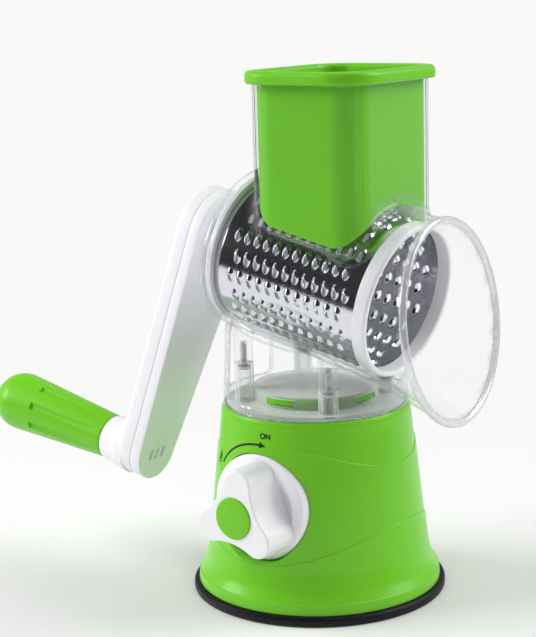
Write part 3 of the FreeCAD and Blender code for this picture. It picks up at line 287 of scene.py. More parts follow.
def cutWith(piece, cutter):
    # Takes the cutter out of the piece and keeps the result in the piece's mesh.
    cut = piece.modifiers.new("cut", "BOOLEAN")
    cut.object, cut.operation, cut.solver = cutter, "DIFFERENCE", "EXACT"
    bpy.context.view_layer.update()
    seen = piece.evaluated_get(bpy.context.evaluated_depsgraph_get())
    shaped = bpy.data.meshes.new_from_object(seen)
    piece.modifiers.clear()
    piece.data = shaped
    shaped.set_sharp_from_angle(angle=math.radians(38))
    bpy.data.objects.remove(cutter)


# The rubber foot, with shallow rings moulded underneath.
foot = {"radius": 62.5, "edge": 4.5, "seat": 49.0, "skin": 2.6, "rings": (16, 27, 38, 49),
        "groove": 0.5, "grooveHalf": 1.2, "grooveFlat": 0.6}


def makeFoot():
    # A profile of (radius, height, rounding), turned round. Each ring is a groove with sloping sides.
    rings, wide, flat = [], foot["grooveHalf"], foot["grooveFlat"]
    for ring in foot["rings"]:
        rings += [(ring - wide, 0, 0.2), (ring - flat, foot["groove"], 0.2),
                  (ring + flat, foot["groove"], 0.2), (ring + wide, 0, 0.2)]
    profile = roundedProfile([
        (0, 0, 0), *rings, (foot["radius"], 0, 1.0), (foot["radius"], foot["edge"], 1.8),
        (foot["seat"], foot["edge"], 0.4), (foot["seat"], foot["skin"], 0.4), (0, foot["skin"], 0)])
    disc = sheetOf(lathe(profile, upright, 160))
    makePiece("rubberFoot", [disc], footRubber, "base", ["suction_pad"])


makeFoot()

# The base shell. Below each of two wavy lines its cone stands out by a small step.
base = {"stepHeight": 0.45, "stepWidth": 0.4, "upper": (76.5, -7.0), "lower": (33.3, 8.3),
        "coneFoot": (54.4, 19.0), "coneTop": (46.6, 91.5), "coneEnds": (22.8, 90.4),
        "pocketRadius": 26.3, "pocketDepth": 42.0, "pocketFront": 80.0, "bottom": 4.5, "top": 93.5,
        "spigot": (28.0, 25.4, 100.3)}


def coneRadius(height):
    # A straight line from the cone's foot to its top: low + (high - low) * share of the height.
    (lowRadius, low), (highRadius, high) = base["coneFoot"], base["coneTop"]
    return lowRadius + (highRadius - lowRadius) * (height - low) / (high - low)


def waveHeight(wave, turn):
    # A wavy line round the cone with two crests: middle + swing * cos(2 * turn).
    middle, swing = base[wave]
    return middle + swing * np.cos(2 * turn)


def makeBaseShell():
    # Rows of (radius, height) from the bottom up. Profile corners are (radius, height, rounding).
    turn = fullTurn(288)
    bottom, top = base["bottom"], base["top"]
    rows = [(0, bottom), *roundedProfile([
        (57.8, bottom, 0), (60.0, bottom, 0.5), (59.6, 9.6, 0.5), (59.0, 10.0, 0.3), (56.2, 15.0, 16),
        (54.6, 22.0, 0)])]
    step, half, near = base["stepHeight"], base["stepWidth"] / 2, base["stepWidth"] * 0.9
    # Bands of the cone, each from one height to another: start, end, rows, and how many steps proud.
    coneLow, coneHigh = base["coneEnds"]
    lower, upper = waveHeight("lower", turn), waveHeight("upper", turn)
    bands = [(coneLow, lower - near, 6, 1), (lower - half, lower - half, 1, 1),
             (lower + half, lower + half, 1, 0), (lower + near, upper - near, 24, 0),
             (upper - half, upper - half, 1, 0), (upper + half, upper + half, 1, -1),
             (upper + near, coneHigh, 6, -1)]
    for start, stop, count, proud in bands:
        for share in np.linspace(0, 1, count):
            height = start + (stop - start) * share
            rows.append((coneRadius(height) + step * proud, height))
    outer, bore, rim = base["spigot"]
    rows += [*roundedProfile([
        (46.3, 91.0, 0), (45.4, top, 1.0), (30.0, top, 0.3), (outer, top, 0.3), (outer, rim, 0.6),
        (bore, rim, 0.6), (bore, top, 0.5), (0, top, 0)])]
    blocks = [sheetOf(lathe(rows, upright, len(turn)))]
    shell = makePiece("baseShell", blocks, greenPlastic, "base", ["base_shell"], crease=50)
    wide, deep, front = base["pocketRadius"], base["pocketDepth"], base["pocketFront"]
    pocket = roundedProfile([(0, deep, 0), (wide, deep, 1.0), (wide, front, 0), (0, front, 0)])
    cutWith(shell, makeCutter([sheetOf(lathe(pocket, fromKnob, 128))]))


makeBaseShell()

# The four lugs of the bayonet round the spigot.
lugs = {"count": 4, "inner": 27.5, "outer": 30.0, "halfWidth": 7.5, "bottom": 96.9, "top": 99.5,
        "endSize": 0.9}


def makeLugs():
    # Each lug is a box with rounded edges, bent round the spigot: its section moves along an arc,
    # a little smaller at both ends.
    inner, outer, bottom, top = [lugs[part] for part in ("inner", "outer", "bottom", "top")]
    half = math.asin(lugs["halfWidth"] / outer)
    section = roundedProfile([(inner, bottom, 0.3), (outer, bottom, 0.5), (outer, top, 0.5),
                              (inner, top, 0.3)], 3, closed=True)
    middle = section.mean(0)
    share = np.linspace(-1, 1, 17)
    size = np.where(np.abs(share) == 1, lugs["endSize"], 1.0)[:, None, None]
    ring = middle + (section[None] - middle) * size
    ring = np.concatenate([middle + 0 * ring[:1], ring, middle + 0 * ring[:1]])
    share = np.concatenate([[-1], share, [1]])
    blocks = []
    for lug in range(lugs["count"]):
        turn = (lug * 2 * math.pi / lugs["count"] + share * half)[:, None]
        points = upright(ring[..., 0] * np.cos(turn), ring[..., 0] * np.sin(turn), ring[..., 1])
        blocks.append(sheetOf(points))
    makePiece("bayonetLugs", blocks, greenPlastic, "base")


makeLugs()

# The arrow printed on the cone over the knob, with a plain ON and OFF.
marks = {"radius": 30.4, "from": 146, "to": 83, "overlap": 5, "width": 1.0, "head": 3.8,
         "headHalf": 1.6, "headBack": 0.8, "headPoint": 0.98, "lift": 0.06, "text": 3.6, "bold": 0.16,
         "words": (("ON", 3.6, 34.6, 0), ("OFF", -28.6, 18.2, 58))}


def ontoCone(right, up):
    # A point of the front view, laid on the base's cone a hair above its surface.
    height = knobAxis["height"] + up
    above = height > waveHeight("upper", np.full_like(up, -math.pi / 2))
    radius = coneRadius(height) - np.where(above, base["stepHeight"], 0) + marks["lift"]
    return upright(right, -np.sqrt(radius ** 2 - right ** 2), height)


def makeMarks():
    # The arrow's shaft is an arc about the knob's axis, and its head narrows by 1 - share along the
    # direction in which the arc ends. A word is its text, its place right and up, and its lean.
    angle = np.radians(np.linspace(marks["from"], marks["to"] + marks["overlap"], 40))[:, None]
    radius = marks["radius"] + marks["width"] * np.array([[-0.5, 0.5]])
    arc = ontoCone(radius * np.cos(angle), radius * np.sin(angle))
    tip = math.radians(marks["to"])
    out = np.array([math.cos(tip), math.sin(tip)])
    ahead = np.array([math.sin(tip), -math.cos(tip)])
    share = np.linspace(0, marks["headPoint"], 12)[:, None, None]
    across = np.linspace(-1, 1, 9)[None, :, None]
    head = marks["radius"] * out + ahead * marks["head"] * (share - marks["headBack"])
    head = ontoCone(*np.moveaxis(head + out * marks["headHalf"] * (1 - share) * across, -1, 0))
    blocks = [sheetOf(arc, loopColumns=False), sheetOf(head, loopColumns=False)]
    for word, right, up, lean in marks["words"]:
        line = bpy.data.curves.new("word", "FONT")
        line.body, line.align_x, line.align_y, line.size = word, "CENTER", "CENTER", marks["text"]
        line.offset = marks["bold"]
        written = bpy.data.objects.new("word", line)
        bpy.context.scene.collection.objects.link(written)
        letters = bpy.data.meshes.new_from_object(written)
        flat = np.zeros(len(letters.vertices) * 3)
        letters.vertices.foreach_get("co", flat)
        flat = flat.reshape(-1, 3)
        turned = math.radians(lean)
        x = right + flat[:, 0] * math.cos(turned) - flat[:, 1] * math.sin(turned)
        y = up + flat[:, 0] * math.sin(turned) + flat[:, 1] * math.cos(turned)
        blocks.append((ontoCone(x, y), [list(polygon.vertices) for polygon in letters.polygons]))
        bpy.data.objects.remove(written)
    makePiece("knobMarks", blocks, printInk, "base", weld=False)


makeMarks()
print("foot and base ready")

# The knob: a dished flange with a grip of three lobes.
knob = {"radius": 25.8, "back": 42.4, "rim": 48.4, "front": 67.9, "lobeCentre": 15.6, "tip": 8.3,
        "waist": 13.4, "firstLobe": math.radians(82), "draft": 0.5, "edge": 0.9, "dish": 4.2,
        "dishRadius": 20.0, "dishRise": 0.6, "dishLip": 0.25, "border": 2.8, "seat": 65.7,
        "capRadius": 10.0, "capGap": 0.08, "capDome": (0.7, 1.0)}


def lobedRadius(turn, inset):
    # The grip's outline as a radius over the turn: round tips joined by hollow arcs that touch them.
    # A ray meets a circle at distance c * cos(a) +/- sqrt(r^2 - c^2 * sin^2(a)).
    centre, tip, waist = knob["lobeCentre"], knob["tip"] - inset, knob["waist"] - inset
    away = (centre ** 2 - (tip - waist) ** 2) / (centre + 2 * (tip - waist))
    side = away - waist
    local = np.abs((turn - knob["firstLobe"] + math.pi / 3) % (2 * math.pi / 3) - math.pi / 3)
    hollow = away * np.array([math.cos(math.pi / 3), math.sin(math.pi / 3)])
    lobe = np.array([centre, 0.0])
    touch = lobe + (hollow - lobe) / np.linalg.norm(hollow - lobe) * tip
    change = math.atan2(touch[1], touch[0])
    onTip = centre * np.cos(local) + np.sqrt(np.maximum(tip ** 2 - (centre * np.sin(local)) ** 2, 0))
    apart = math.pi / 3 - local
    onHollow = away * np.cos(apart) - np.sqrt(np.maximum(side ** 2 - (away * np.sin(apart)) ** 2, 0))
    return np.where(local < change, onTip, onHollow)


def makeKnob():
    # Rows of (radius, out) from the flange's back, over its rim and into the scoop, up the grip, over
    # its edge and into the hole for the cap.
    turn = fullTurn(240)
    wide, back, rim, front, edge = [knob[part] for part in ("radius", "back", "rim", "front", "edge")]
    rows = [*roundedProfile([(0, back, 0), (wide, back, 0.6), (wide, rim, 1.6),
                             (wide - 3, rim + 0.5, 0)])]
    foot, face = lobedRadius(turn, 0), rim + knob["dishRise"]
    outer = np.maximum(knob["dishRadius"], np.minimum(foot + 0.3, wide - knob["border"]))
    rows += [(outer + knob["dishLip"], face), (outer, face)]
    # Between the lobes a scoop falls away from the flange's face towards the grip's foot: depth *
    # share^0.6, shallower where the foot comes near the scoop's edge.
    room = np.clip(outer - foot, 0, None) / (knob["dishRadius"] - knob["waist"])
    for share in np.linspace(0, 1, 18)[1:]:
        rows.append((outer + (foot - outer) * share, face - knob["dish"] * share ** 0.6 * room))
    low = rows[-1][1]
    for share in np.linspace(0, 1, 10)[1:]:
        rows.append((lobedRadius(turn, knob["draft"] * share), low + (front - edge - low) * share))
    for bend in np.linspace(0, math.pi / 2, 6)[1:]:
        inset = knob["draft"] + edge * (1 - math.cos(bend))
        rows.append((lobedRadius(turn, inset), front - edge + edge * math.sin(bend)))
    last, hole = rows[-1][0], knob["capRadius"] + knob["capGap"]
    rows += [(last + (hole - last) * share, front) for share in np.linspace(0, 1, 5)[1:]]
    rows += [(hole, knob["seat"]), (0, knob["seat"])]
    blocks = [sheetOf(lathe(rows, fromKnob, len(turn)))]
    makePiece("suctionKnob", blocks, whitePlastic, "knob", ["suction_knob"])
    around, seat, (side, crown) = knob["capRadius"], knob["seat"], knob["capDome"]
    cap = roundedProfile([(0, seat, 0), (around, seat, 0.2), (around, front + side, 0.7),
                          (around / 2, front + crown, 6), (0, front + crown, 0)])
    makePiece("knobCap", [sheetOf(lathe(cap, fromKnob))], greenPlastic, "knob", ["knob_cap"])


makeKnob()
print("knob ready")

# The clear housing: barrel, mouth, hopper, neck and pedestal as one moulding. It is the zero level
# of a field of distances, so that its parts run into each other with fillets. The last two lines are
# the grid on which the field is worked out, and how tight a bend has to be before it shows.
housing = {"wall": 2.1, "thinner": 0.8, "thinOver": 1.3, "radius": 40.3, "back": -38.5,
           "flareStart": 42.0, "mouth": (79.9, 2.3, 47.7, 42.0, math.radians(18.4)),
           "rim": 1.75, "rimBack": 0.6, "bead": 1.85, "beadBack": 0.63,
           "neckRadius": 14.0, "neckBack": -53.5, "neckBore": 10.1, "boreEnd": 4.0,
           "hopperPlace": 18.1, "hopperHalf": (31.4, 36.2), "hopperCorner": 13.6, "hopperTop": 248.2,
           "ledge": 23.5, "deck": base["top"], "ring": 98.7, "wallFoot": 45.5, "wallTop": 41.4,
           "sideWindow": 27.0, "rearWindow": 17.0, "windowMiddle": 8.0, "windowHead": 28.5,
           "bossPlace": 24.7, "bossRadius": 4.7, "bossTops": (114.2, 106.4), "bossGap": 0.15,
           "pilotRadius": 1.75, "pilotDepth": 10.6, "barrelGap": 0.25,
           "low": (-58, -49, 91), "high": (90, 49, 250), "cell": (1.5, 1.12, 1.12),
           "bendReach": 0.4, "bendFrom": 0.06, "bendSpan": 0.5}
# The fillets between its parts. The saddle, where the hopper meets the barrel, is the first size, and
# grows by the second towards the mouth, from a place along the barrel and over a length.
fillets = {"back": 2.4, "hopperFoot": 3.0, "saddle": (4.0, 9.0, 25, 30), "rim": 0.8, "neck": 1.5,
           "ledge": 1.6, "deck": 0.3, "windowHead": 3.0, "window": 0.8, "boss": 1.2, "shell": 1.6}


def softLeast(first, second, blend):
    # The lesser of two distances, with a fillet of about the blend's size where they meet.
    mix = np.clip(0.5 + 0.5 * (second - first) / blend, 0, 1)
    return second + (first - second) * mix - blend * mix * (1 - mix)


def softMost(first, second, blend):
    # The greater of two distances, with the same fillet.
    return -softLeast(-first, -second, blend)


def boxDistance(x, y, halfX, halfY, corner):
    # Distance to a rectangle with rounded corners.
    qx, qy = np.abs(x) - (halfX - corner), np.abs(y) - (halfY - corner)
    return np.hypot(np.maximum(qx, 0), np.maximum(qy, 0)) + np.minimum(np.maximum(qx, qy), 0) - corner


def mouthOval(down, across):
    # How far out and along the mouth's oval lies in a direction of which these are the parts.
    reach, drop, tall, wide, lean = housing["mouth"]
    flat = tall * math.cos(lean)
    a = (down / flat) ** 2 + (across / wide) ** 2
    b = -2 * down * drop / flat ** 2
    c = (drop / flat) ** 2 - 1
    oval = (-b + np.sqrt(b * b - 4 * a * c)) / (2 * a)
    return oval, reach + (oval * down - drop) * math.tan(lean)


def barrelDistance(side, up, along):
    # The barrel is round up to the flare. From there its radius grows towards the mouth's oval, which
    # lies on a leaning plane: radius = R + (oval - R) * share^1.5, share = how far along to the mouth.
    lean = housing["mouth"][-1]
    out = np.hypot(side, up) + 1e-9
    oval, end = mouthOval(-up / out, side / out)
    share = np.clip((along - housing["flareStart"]) / (end - housing["flareStart"]), 0, 1.25)
    radius = housing["radius"] + (oval - housing["radius"]) * share ** 1.5
    return (out - radius) * 0.97, (along - end) * math.cos(lean)


def barrelField(x, y, z, up, along):
    # The barrel, the hopper on it, the bead round the mouth and the neck behind, as one shell: the
    # solid's distance d becomes |d + wall / 2| - wall / 2. The hopper's wall is the thinner one.
    out, wall = np.hypot(y, up), housing["wall"]
    skin, beyond = barrelDistance(y, up, along)
    barrel = softMost(skin, housing["back"] - along, fillets["back"])
    thin = wall - housing["thinner"] * np.clip(barrel / housing["thinOver"], 0, 1)
    hopper = boxDistance(x - housing["hopperPlace"], y, *housing["hopperHalf"], housing["hopperCorner"])
    hopper = softMost(hopper, barrelAxis["height"] - z, fillets["hopperFoot"])
    small, more, start, over = fillets["saddle"]
    body = softLeast(barrel, hopper, small + more * np.clip((along - start) / over, 0, 1))
    shell = np.abs(body + thin / 2) - thin / 2
    shell = np.maximum(shell, np.maximum(z - housing["hopperTop"], beyond))
    rim = np.hypot(skin + wall / 2, beyond + housing["rimBack"]) - housing["rim"]
    shell = softLeast(shell, rim, fillets["rim"])
    ends = np.maximum(housing["neckBack"] - along, along - housing["back"] - wall / 2)
    shell = softLeast(shell, np.maximum(out - housing["neckRadius"], ends), fillets["neck"])
    bored = along < housing["back"] + housing["boreEnd"]
    return np.maximum(shell, np.where(bored, housing["neckBore"] - out, -9.0)), barrel


def pedestalField(x, y, z, up, barrel):
    # A cone on the deck under a roof that slopes with the barrel, both one wall thick, less the
    # windows at the sides and behind, with four bosses inside.
    wall = housing["wall"]
    slope = (housing["wallTop"] - housing["wallFoot"]) / (barrelAxis["height"] - housing["deck"])
    cone = np.hypot(x, y) - (housing["wallFoot"] + slope * (z - housing["deck"]))
    under = up + housing["ledge"]
    bowl = softMost(softMost(cone, under, fillets["ledge"]), housing["deck"] - z, fillets["deck"])
    pedestal = softMost(bowl, np.minimum(-(cone + wall), -(under + wall)), fillets["deck"])
    middle, head = housing["windowMiddle"], fillets["windowHead"]
    window = np.minimum(np.maximum(np.abs(x) - housing["sideWindow"], middle - np.abs(y)),
                        np.maximum(np.abs(y) - housing["rearWindow"], x + middle))
    window = softMost(softMost(window, housing["ring"] - z, head), up + housing["windowHead"], head)
    pedestal = softMost(pedestal, -window, fillets["window"])
    place = housing["bossPlace"]
    post = np.hypot(np.abs(x) - place, np.abs(y) - place)
    foot = np.where(x > 0, housing["bossTops"][1], housing["bossTops"][0]) + housing["bossGap"]
    boss = np.maximum(np.maximum(post - housing["bossRadius"], foot - z), up)
    pedestal = softLeast(pedestal, boss, fillets["boss"])
    pedestal = np.maximum(pedestal, -(barrel + housing["barrelGap"]))
    return pedestal, np.maximum(post - housing["pilotRadius"], z - foot - housing["pilotDepth"])


def housingField(points):
    # Below zero inside the plastic.
    x, y, z = points[..., 0], points[..., 1], points[..., 2]
    fall, run = math.sin(barrelAxis["tilt"]), math.cos(barrelAxis["tilt"])
    height = z - barrelAxis["height"]
    along, up = run * x - fall * height, fall * x + run * height
    shell, barrel = barrelField(x, y, z, up, along)
    pedestal, pilot = pedestalField(x, y, z, up, barrel)
    return np.maximum(softLeast(shell, pedestal, fillets["shell"]), -pilot)


def levelSurface(field, low, high, cell):
    # The zero level of a field: one point in each cell that it crosses, at the mean of the crossings
    # on the cell's edges, then moved onto the level along the field's slope; a quad for each crossed
    # grid edge joins the four cells round it.
    axes = [np.arange(start, stop + step, step) for start, stop, step in zip(low, high, cell)]
    grid = np.stack(np.meshgrid(*axes, indexing="ij"), -1)
    value = field(grid)
    inside = value < 0
    size = np.array(value.shape)
    total, count = np.zeros((*(size - 1), 3)), np.zeros(size - 1)
    crossed = []
    for axis in range(3):
        first = [slice(None)] * 3
        second = [slice(None)] * 3
        first[axis], second[axis] = slice(0, -1), slice(1, None)
        first, second = tuple(first), tuple(second)
        change = inside[first] != inside[second]
        share = value[first] / np.where(change, value[first] - value[second], 1)
        spot = grid[first].copy()
        spot[..., axis] += share * cell[axis]
        others = [other for other in range(3) if other != axis]
        for shiftA in (0, 1):
            for shiftB in (0, 1):
                take = [slice(None)] * 3
                for other, shift in zip(others, (shiftA, shiftB)):
                    take[other] = slice(shift, size[other] - 1 + shift)
                take = tuple(take)
                total += np.where(change[take][..., None], spot[take], 0)
                count += change[take]
        crossed.append((axis, others, change, inside[first]))
    number = np.full(count.shape, -1)
    number[count > 0] = np.arange(int((count > 0).sum()))
    points = total[count > 0] / count[count > 0][:, None]
    faces = []
    for axis, others, change, solid in crossed:
        take = [slice(None)] * 3
        for other in others:
            take[other] = slice(1, size[other] - 1)
        where = np.argwhere(change[tuple(take)])
        flip = solid[tuple(take)][change[tuple(take)]]
        where[:, others] += 1
        around = []
        for shiftA, shiftB in ((-1, -1), (0, -1), (0, 0), (-1, 0)):
            spot = where.copy()
            spot[:, others[0]] += shiftA
            spot[:, others[1]] += shiftB
            around.append(number[spot[:, 0], spot[:, 1], spot[:, 2]])
        quads = np.stack(around, -1)
        backwards = flip if axis != 1 else ~flip
        quads[~backwards] = quads[~backwards][:, ::-1]
        faces.append(quads)
    reach, farthest = 0.02, 0.4
    for _ in range(4):
        level = field(points)
        slope = np.stack([(field(points + reach * way) - field(points - reach * way)) / (2 * reach)
                          for way in np.eye(3)], -1)
        move = level[:, None] * slope / np.maximum((slope ** 2).sum(-1), 0.25)[:, None]
        points -= np.clip(move, -farthest, farthest)
    return points, np.concatenate(faces).tolist()


def makeHousing():
    points, faces = levelSurface(housingField, housing["low"], housing["high"], housing["cell"])
    nodes = ["housing_barrel", "housing_hopper", "housing_pedestal"]
    piece = makePiece("clearHousing", [(points, faces)], clearPlastic, "base", nodes, crease=50,
                      weld=False)
    # How tightly each place bends: the field's Laplacian, which is the sum of its curvatures.
    reach = housing["bendReach"]
    around = sum(housingField(points + way) + housingField(points - way) for way in reach * np.eye(3))
    curvature = np.abs(around - 6 * housingField(points)) / reach ** 2
    bend = np.clip((curvature - housing["bendFrom"]) / housing["bendSpan"], 0, 1)
    piece.data.attributes.new("bend", "FLOAT", "POINT").data.foreach_set("value", bend)
    # The bead round the mouth, as a tube along the mouth's oval.
    turn, ring = fullTurn(180), fullTurn(20)
    oval, end = mouthOval(np.cos(turn), np.sin(turn))
    out = (oval - housing["wall"] / 2)[:, None] + housing["bead"] * np.cos(ring)
    along = (end - housing["beadBack"])[:, None] + housing["bead"] * np.sin(ring)
    points = fromBarrel(out * np.sin(turn)[:, None], -out * np.cos(turn)[:, None], along)
    makePiece("mouthBead", [sheetOf(points, loopRows=True)], rimPlastic, "base")
    print("housing has", len(faces), "quads")


makeHousing()

# Screws with a rolled thread stand in the clear standoffs.
screws = {"place": housing["bossPlace"], "heads": (112.6, 104.8), "length": 12.0, "headRadius": 3.0,
          "headHeight": 1.8, "recess": (1.0, 1.1), "core": 1.15, "crest": 0.42, "pitch": 1.25,
          "point": 2.2}


def makeScrews():
    # The thread is a sawtooth that climbs with the turn: crest * |2 * frac(height / pitch - turn) - 1|.
    turn = fullTurn(20)
    wide, high, (hollow, floor) = screws["headRadius"], -screws["headHeight"], screws["recess"]
    head = roundedProfile([(0, -floor, 0), (hollow, -floor, 0), (hollow, high, 0), (wide, high, 0.8),
                           (wide, 0, 0.3), (1.5, 0, 0)], 4)
    height = np.linspace(0.05, screws["length"] - 0.05, 84)
    taper = np.clip((screws["length"] - height) / screws["point"], 0.02, 1)[:, None]
    saw = np.abs(2 * ((height[:, None] / screws["pitch"] - turn / (2 * math.pi)) % 1) - 1)
    radius = (screws["core"] + screws["crest"] * saw ** 1.5) * taper
    blocks = []
    for across, along in ((1, 1), (-1, 1), (-1, -1), (1, -1)):
        x, y = across * screws["place"], along * screws["place"]
        z = screws["heads"][1] if across > 0 else screws["heads"][0]
        blocks.append(sheetOf(lathe(head, upright, 24) + np.array([x, y, z])))
        thread = upright(x + radius * np.cos(turn), y + radius * np.sin(turn),
                         z + height[:, None] + 0 * radius)
        blocks.append(sheetOf(thread))
    makePiece("housingScrews", blocks, screwSteel, "base", ["housing_screws"])


makeScrews()

# The pusher: an open box whose underside is hollow round the drum, with a thick rolled rim.
pusher = {"half": (29.9, 34.6), "corner": 14.0, "wall": 2.2, "bottom": 206.0, "inside": 212.0,
          "rimBottom": 248.5, "rimTop": 254.4, "rimDepth": 6.0, "overhang": 5.5, "hollow": 41.6,
          "floor": 43.8, "place": housing["hopperPlace"]}


def roundedBox(grow, count=18):
    # The outline of a rectangle with rounded corners, grown outwards: arcs of (corner + grow) about
    # four fixed centres, with the sides divided between them.
    halfX, halfY = pusher["half"]
    corner = pusher["corner"]
    points = []
    for quarter, (sx, sy) in enumerate(((1, 1), (-1, 1), (-1, -1), (1, -1))):
        turn = math.pi / 2 * (quarter + np.linspace(0, 1, count))
        arc = np.stack([sx * (halfX - corner) + (corner + grow) * np.cos(turn),
                        sy * (halfY - corner) + (corner + grow) * np.sin(turn)], -1)
        points.append(arc)
    outline = []
    for quarter in range(4):
        here, following = points[quarter], points[(quarter + 1) % 4]
        between = np.linspace(0, 1, 14)[1:-1, None]
        outline += [here, here[-1] + (following[0] - here[-1]) * between]
    return np.concatenate(outline)


def aboveDrum(x, y, radius):
    # Height of a cylinder round the drum's axis over a point, on its upper side.
    fall, run = math.sin(barrelAxis["tilt"]), math.cos(barrelAxis["tilt"])
    return barrelAxis["height"] + (np.sqrt(np.maximum(radius ** 2 - y ** 2, 0)) - fall * x) / run


def makePusher():
    # Rows from the middle of the underside out, up the outside, over the rim and down to the middle
    # of the floor. A level row lies flat; a curved one lies on a cylinder round the drum.
    rows = []

    def level(grow, height):
        spot = roundedBox(grow)
        rows.append(np.concatenate([spot, np.full((len(spot), 1), height)], 1))

    def curved(grow, radius, shrink=1.0, lift=0.0):
        spot = roundedBox(grow) * shrink
        top = aboveDrum(spot[:, 0] + pusher["place"], spot[:, 1], radius)
        rows.append(np.concatenate([spot, top[:, None] + lift], 1))

    hollow, floor, wall = pusher["hollow"], pusher["floor"], pusher["wall"]
    over, low, high = pusher["overhang"], pusher["rimBottom"], pusher["rimTop"]
    for shrink in (0.0, 0.25, 0.5, 0.75, 0.9):
        curved(-0.6, hollow, shrink)
    curved(-0.6, hollow, lift=0.05)
    curved(0.0, hollow, lift=0.7)
    for height in np.linspace(pusher["bottom"], low - 0.9, 7):
        level(0.0, height)
    inner = high - pusher["rimDepth"]
    rim = roundedProfile([(0.0, low - 0.8, 0), (0.0, low, 0.5), (over, low, 1.1), (over, high, 2.2),
                          (-wall, high, 2.0), (-wall, inner, 0)], 7)
    for grow, height in rim:
        level(grow, height)
    for height in np.linspace(inner, pusher["inside"], 6)[1:]:
        level(-wall, height)
    curved(-wall, floor, lift=1.2)
    curved(-wall - 0.8, floor, lift=0.2)
    for shrink in (0.9, 0.7, 0.45, 0.2, 0.0):
        curved(-wall - 0.8, floor, shrink)
    points = np.array(rows)
    points[..., 0] += pusher["place"]
    makePiece("foodPusher", [sheetOf(points)], greenPlastic, "pusher", ["pusher"])


makePusher()
print("housing, screws and pusher ready")

# The drum: a rolled sheet in which every tooth is a hood raised over a hole.
drum = {"radius": 35.5, "sheet": 0.55, "back": -32.8, "front": 53.2, "rows": 22, "teeth": 12,
        "pitch": 5.65, "margin": 10.2, "phase": math.radians(1.0), "hole": (1.25, 2.2, -0.9),
        "foot": (2.15, 3.75, 0.4), "rise": 1.5, "lowRise": 0.25, "hood": 1.3, "fall": 1.6,
        "rings": (0.0, 0.3, 0.7, 1.0, 1.06), "around": 16}


def makeDrumSheet():
    # Every tile is a set of rings round its hole, from the hole's oval edge to the oval foot of the
    # raised eye, and on to the tile's square border. Round the hole the eye stands out by lowRise +
    # (rise - lowRise) * ((1 + sin(turn)) / 2)^hood, and it falls back to the sheet as 1 - share^fall.
    sector = 2 * math.pi / drum["rows"]
    halfPitch, halfArc = drum["pitch"] / 2, drum["radius"] * sector / 2
    turn = np.arange(drum["around"]) * 2 * math.pi / drum["around"]
    share = np.array(drum["rings"])[:, None]
    # A hole and its foot are each an oval: half its width, half its length, and how far up it lies.
    wide, tall, place = (hole + (foot - hole) * share for hole, foot in zip(drum["hole"], drum["foot"]))
    side, up = wide * np.cos(turn), place + tall * np.sin(turn)
    hood = ((1 + np.sin(turn)) / 2) ** drum["hood"]
    stand = drum["lowRise"] + (drum["rise"] - drum["lowRise"]) * hood
    lift = stand * (1 - np.minimum(share, 1) ** drum["fall"])
    # The border has points at every quarter of a side, so that it meets rows shifted by half a
    # pitch: across = 2 - |(eighth + 4) mod 8 - 4| and upwards = 2 - |(eighth + 2) mod 8 - 4|, held
    # within 1, where an eighth is 45 degrees.
    eighth = turn / (math.pi / 4)
    across, upwards = (np.clip(2 - np.abs((eighth + shift) % 8 - 4), -1, 1) for shift in (4, 2))
    side = np.vstack([side, across * halfPitch])
    up = np.vstack([up, upwards * halfArc])
    lift = np.vstack([lift, 0 * turn])
    radius = drum["radius"]
    blocks = []

    def bent(angle, out, along):
        return fromBarrel(out * np.sin(angle), -out * np.cos(angle), along)

    for row in range(drum["rows"]):
        first = drum["back"] + drum["margin"] - (halfPitch if row % 2 else 0)
        middle = drum["phase"] + row * sector
        for tooth in range(drum["teeth"]):
            along = first + (2 * tooth + 1) * halfPitch + side
            blocks.append(sheetOf(bent(middle - up / radius, radius + lift, along)))
        edge = middle + np.linspace(-1, 1, 5)[None] * sector / 2
        step = np.arange(1, 3) * halfPitch / 2
        start = drum["back"] + drum["margin"]
        back = np.linspace(drum["back"], start - halfPitch, 3)
        front = np.linspace(start + drum["teeth"] * drum["pitch"], drum["front"], 3)
        if row % 2:
            front = np.append(front[0] - step[::-1], front)
        else:
            back = np.append(back, back[-1] + step)
        for strip in (back, front):
            along = strip[:, None] + 0 * edge
            blocks.append(sheetOf(bent(edge + 0 * along, radius, along), loopColumns=False))
    nodes = [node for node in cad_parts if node.startswith("drum_stave")]
    piece = makePiece("drumSheet", blocks, drumSteel, "drum", nodes, crease=60)
    thick = piece.modifiers.new("thickness", "SOLIDIFY")
    thick.thickness = drum["sheet"] * 0.001
    thick.offset = -1


makeDrumSheet()

# The drum's white end pieces.
ends = {"outer": 37.1, "ringBack": 48.6, "ringFront": 55.8, "inner": 34.3, "groove": (35.56, 34.85),
        "grooveEnd": 53.25, "capBack": -36.2, "capRadius": 37.9, "capInner": 34.8, "capLip": 32.8,
        "capEdge": -32.85, "capFront": -26.9, "capFloor": -34.0, "hubRadius": 10.0, "hubBack": -51.0,
        "square": (6.0, -38.0), "dish": (12.0, 9.0, -33.0)}


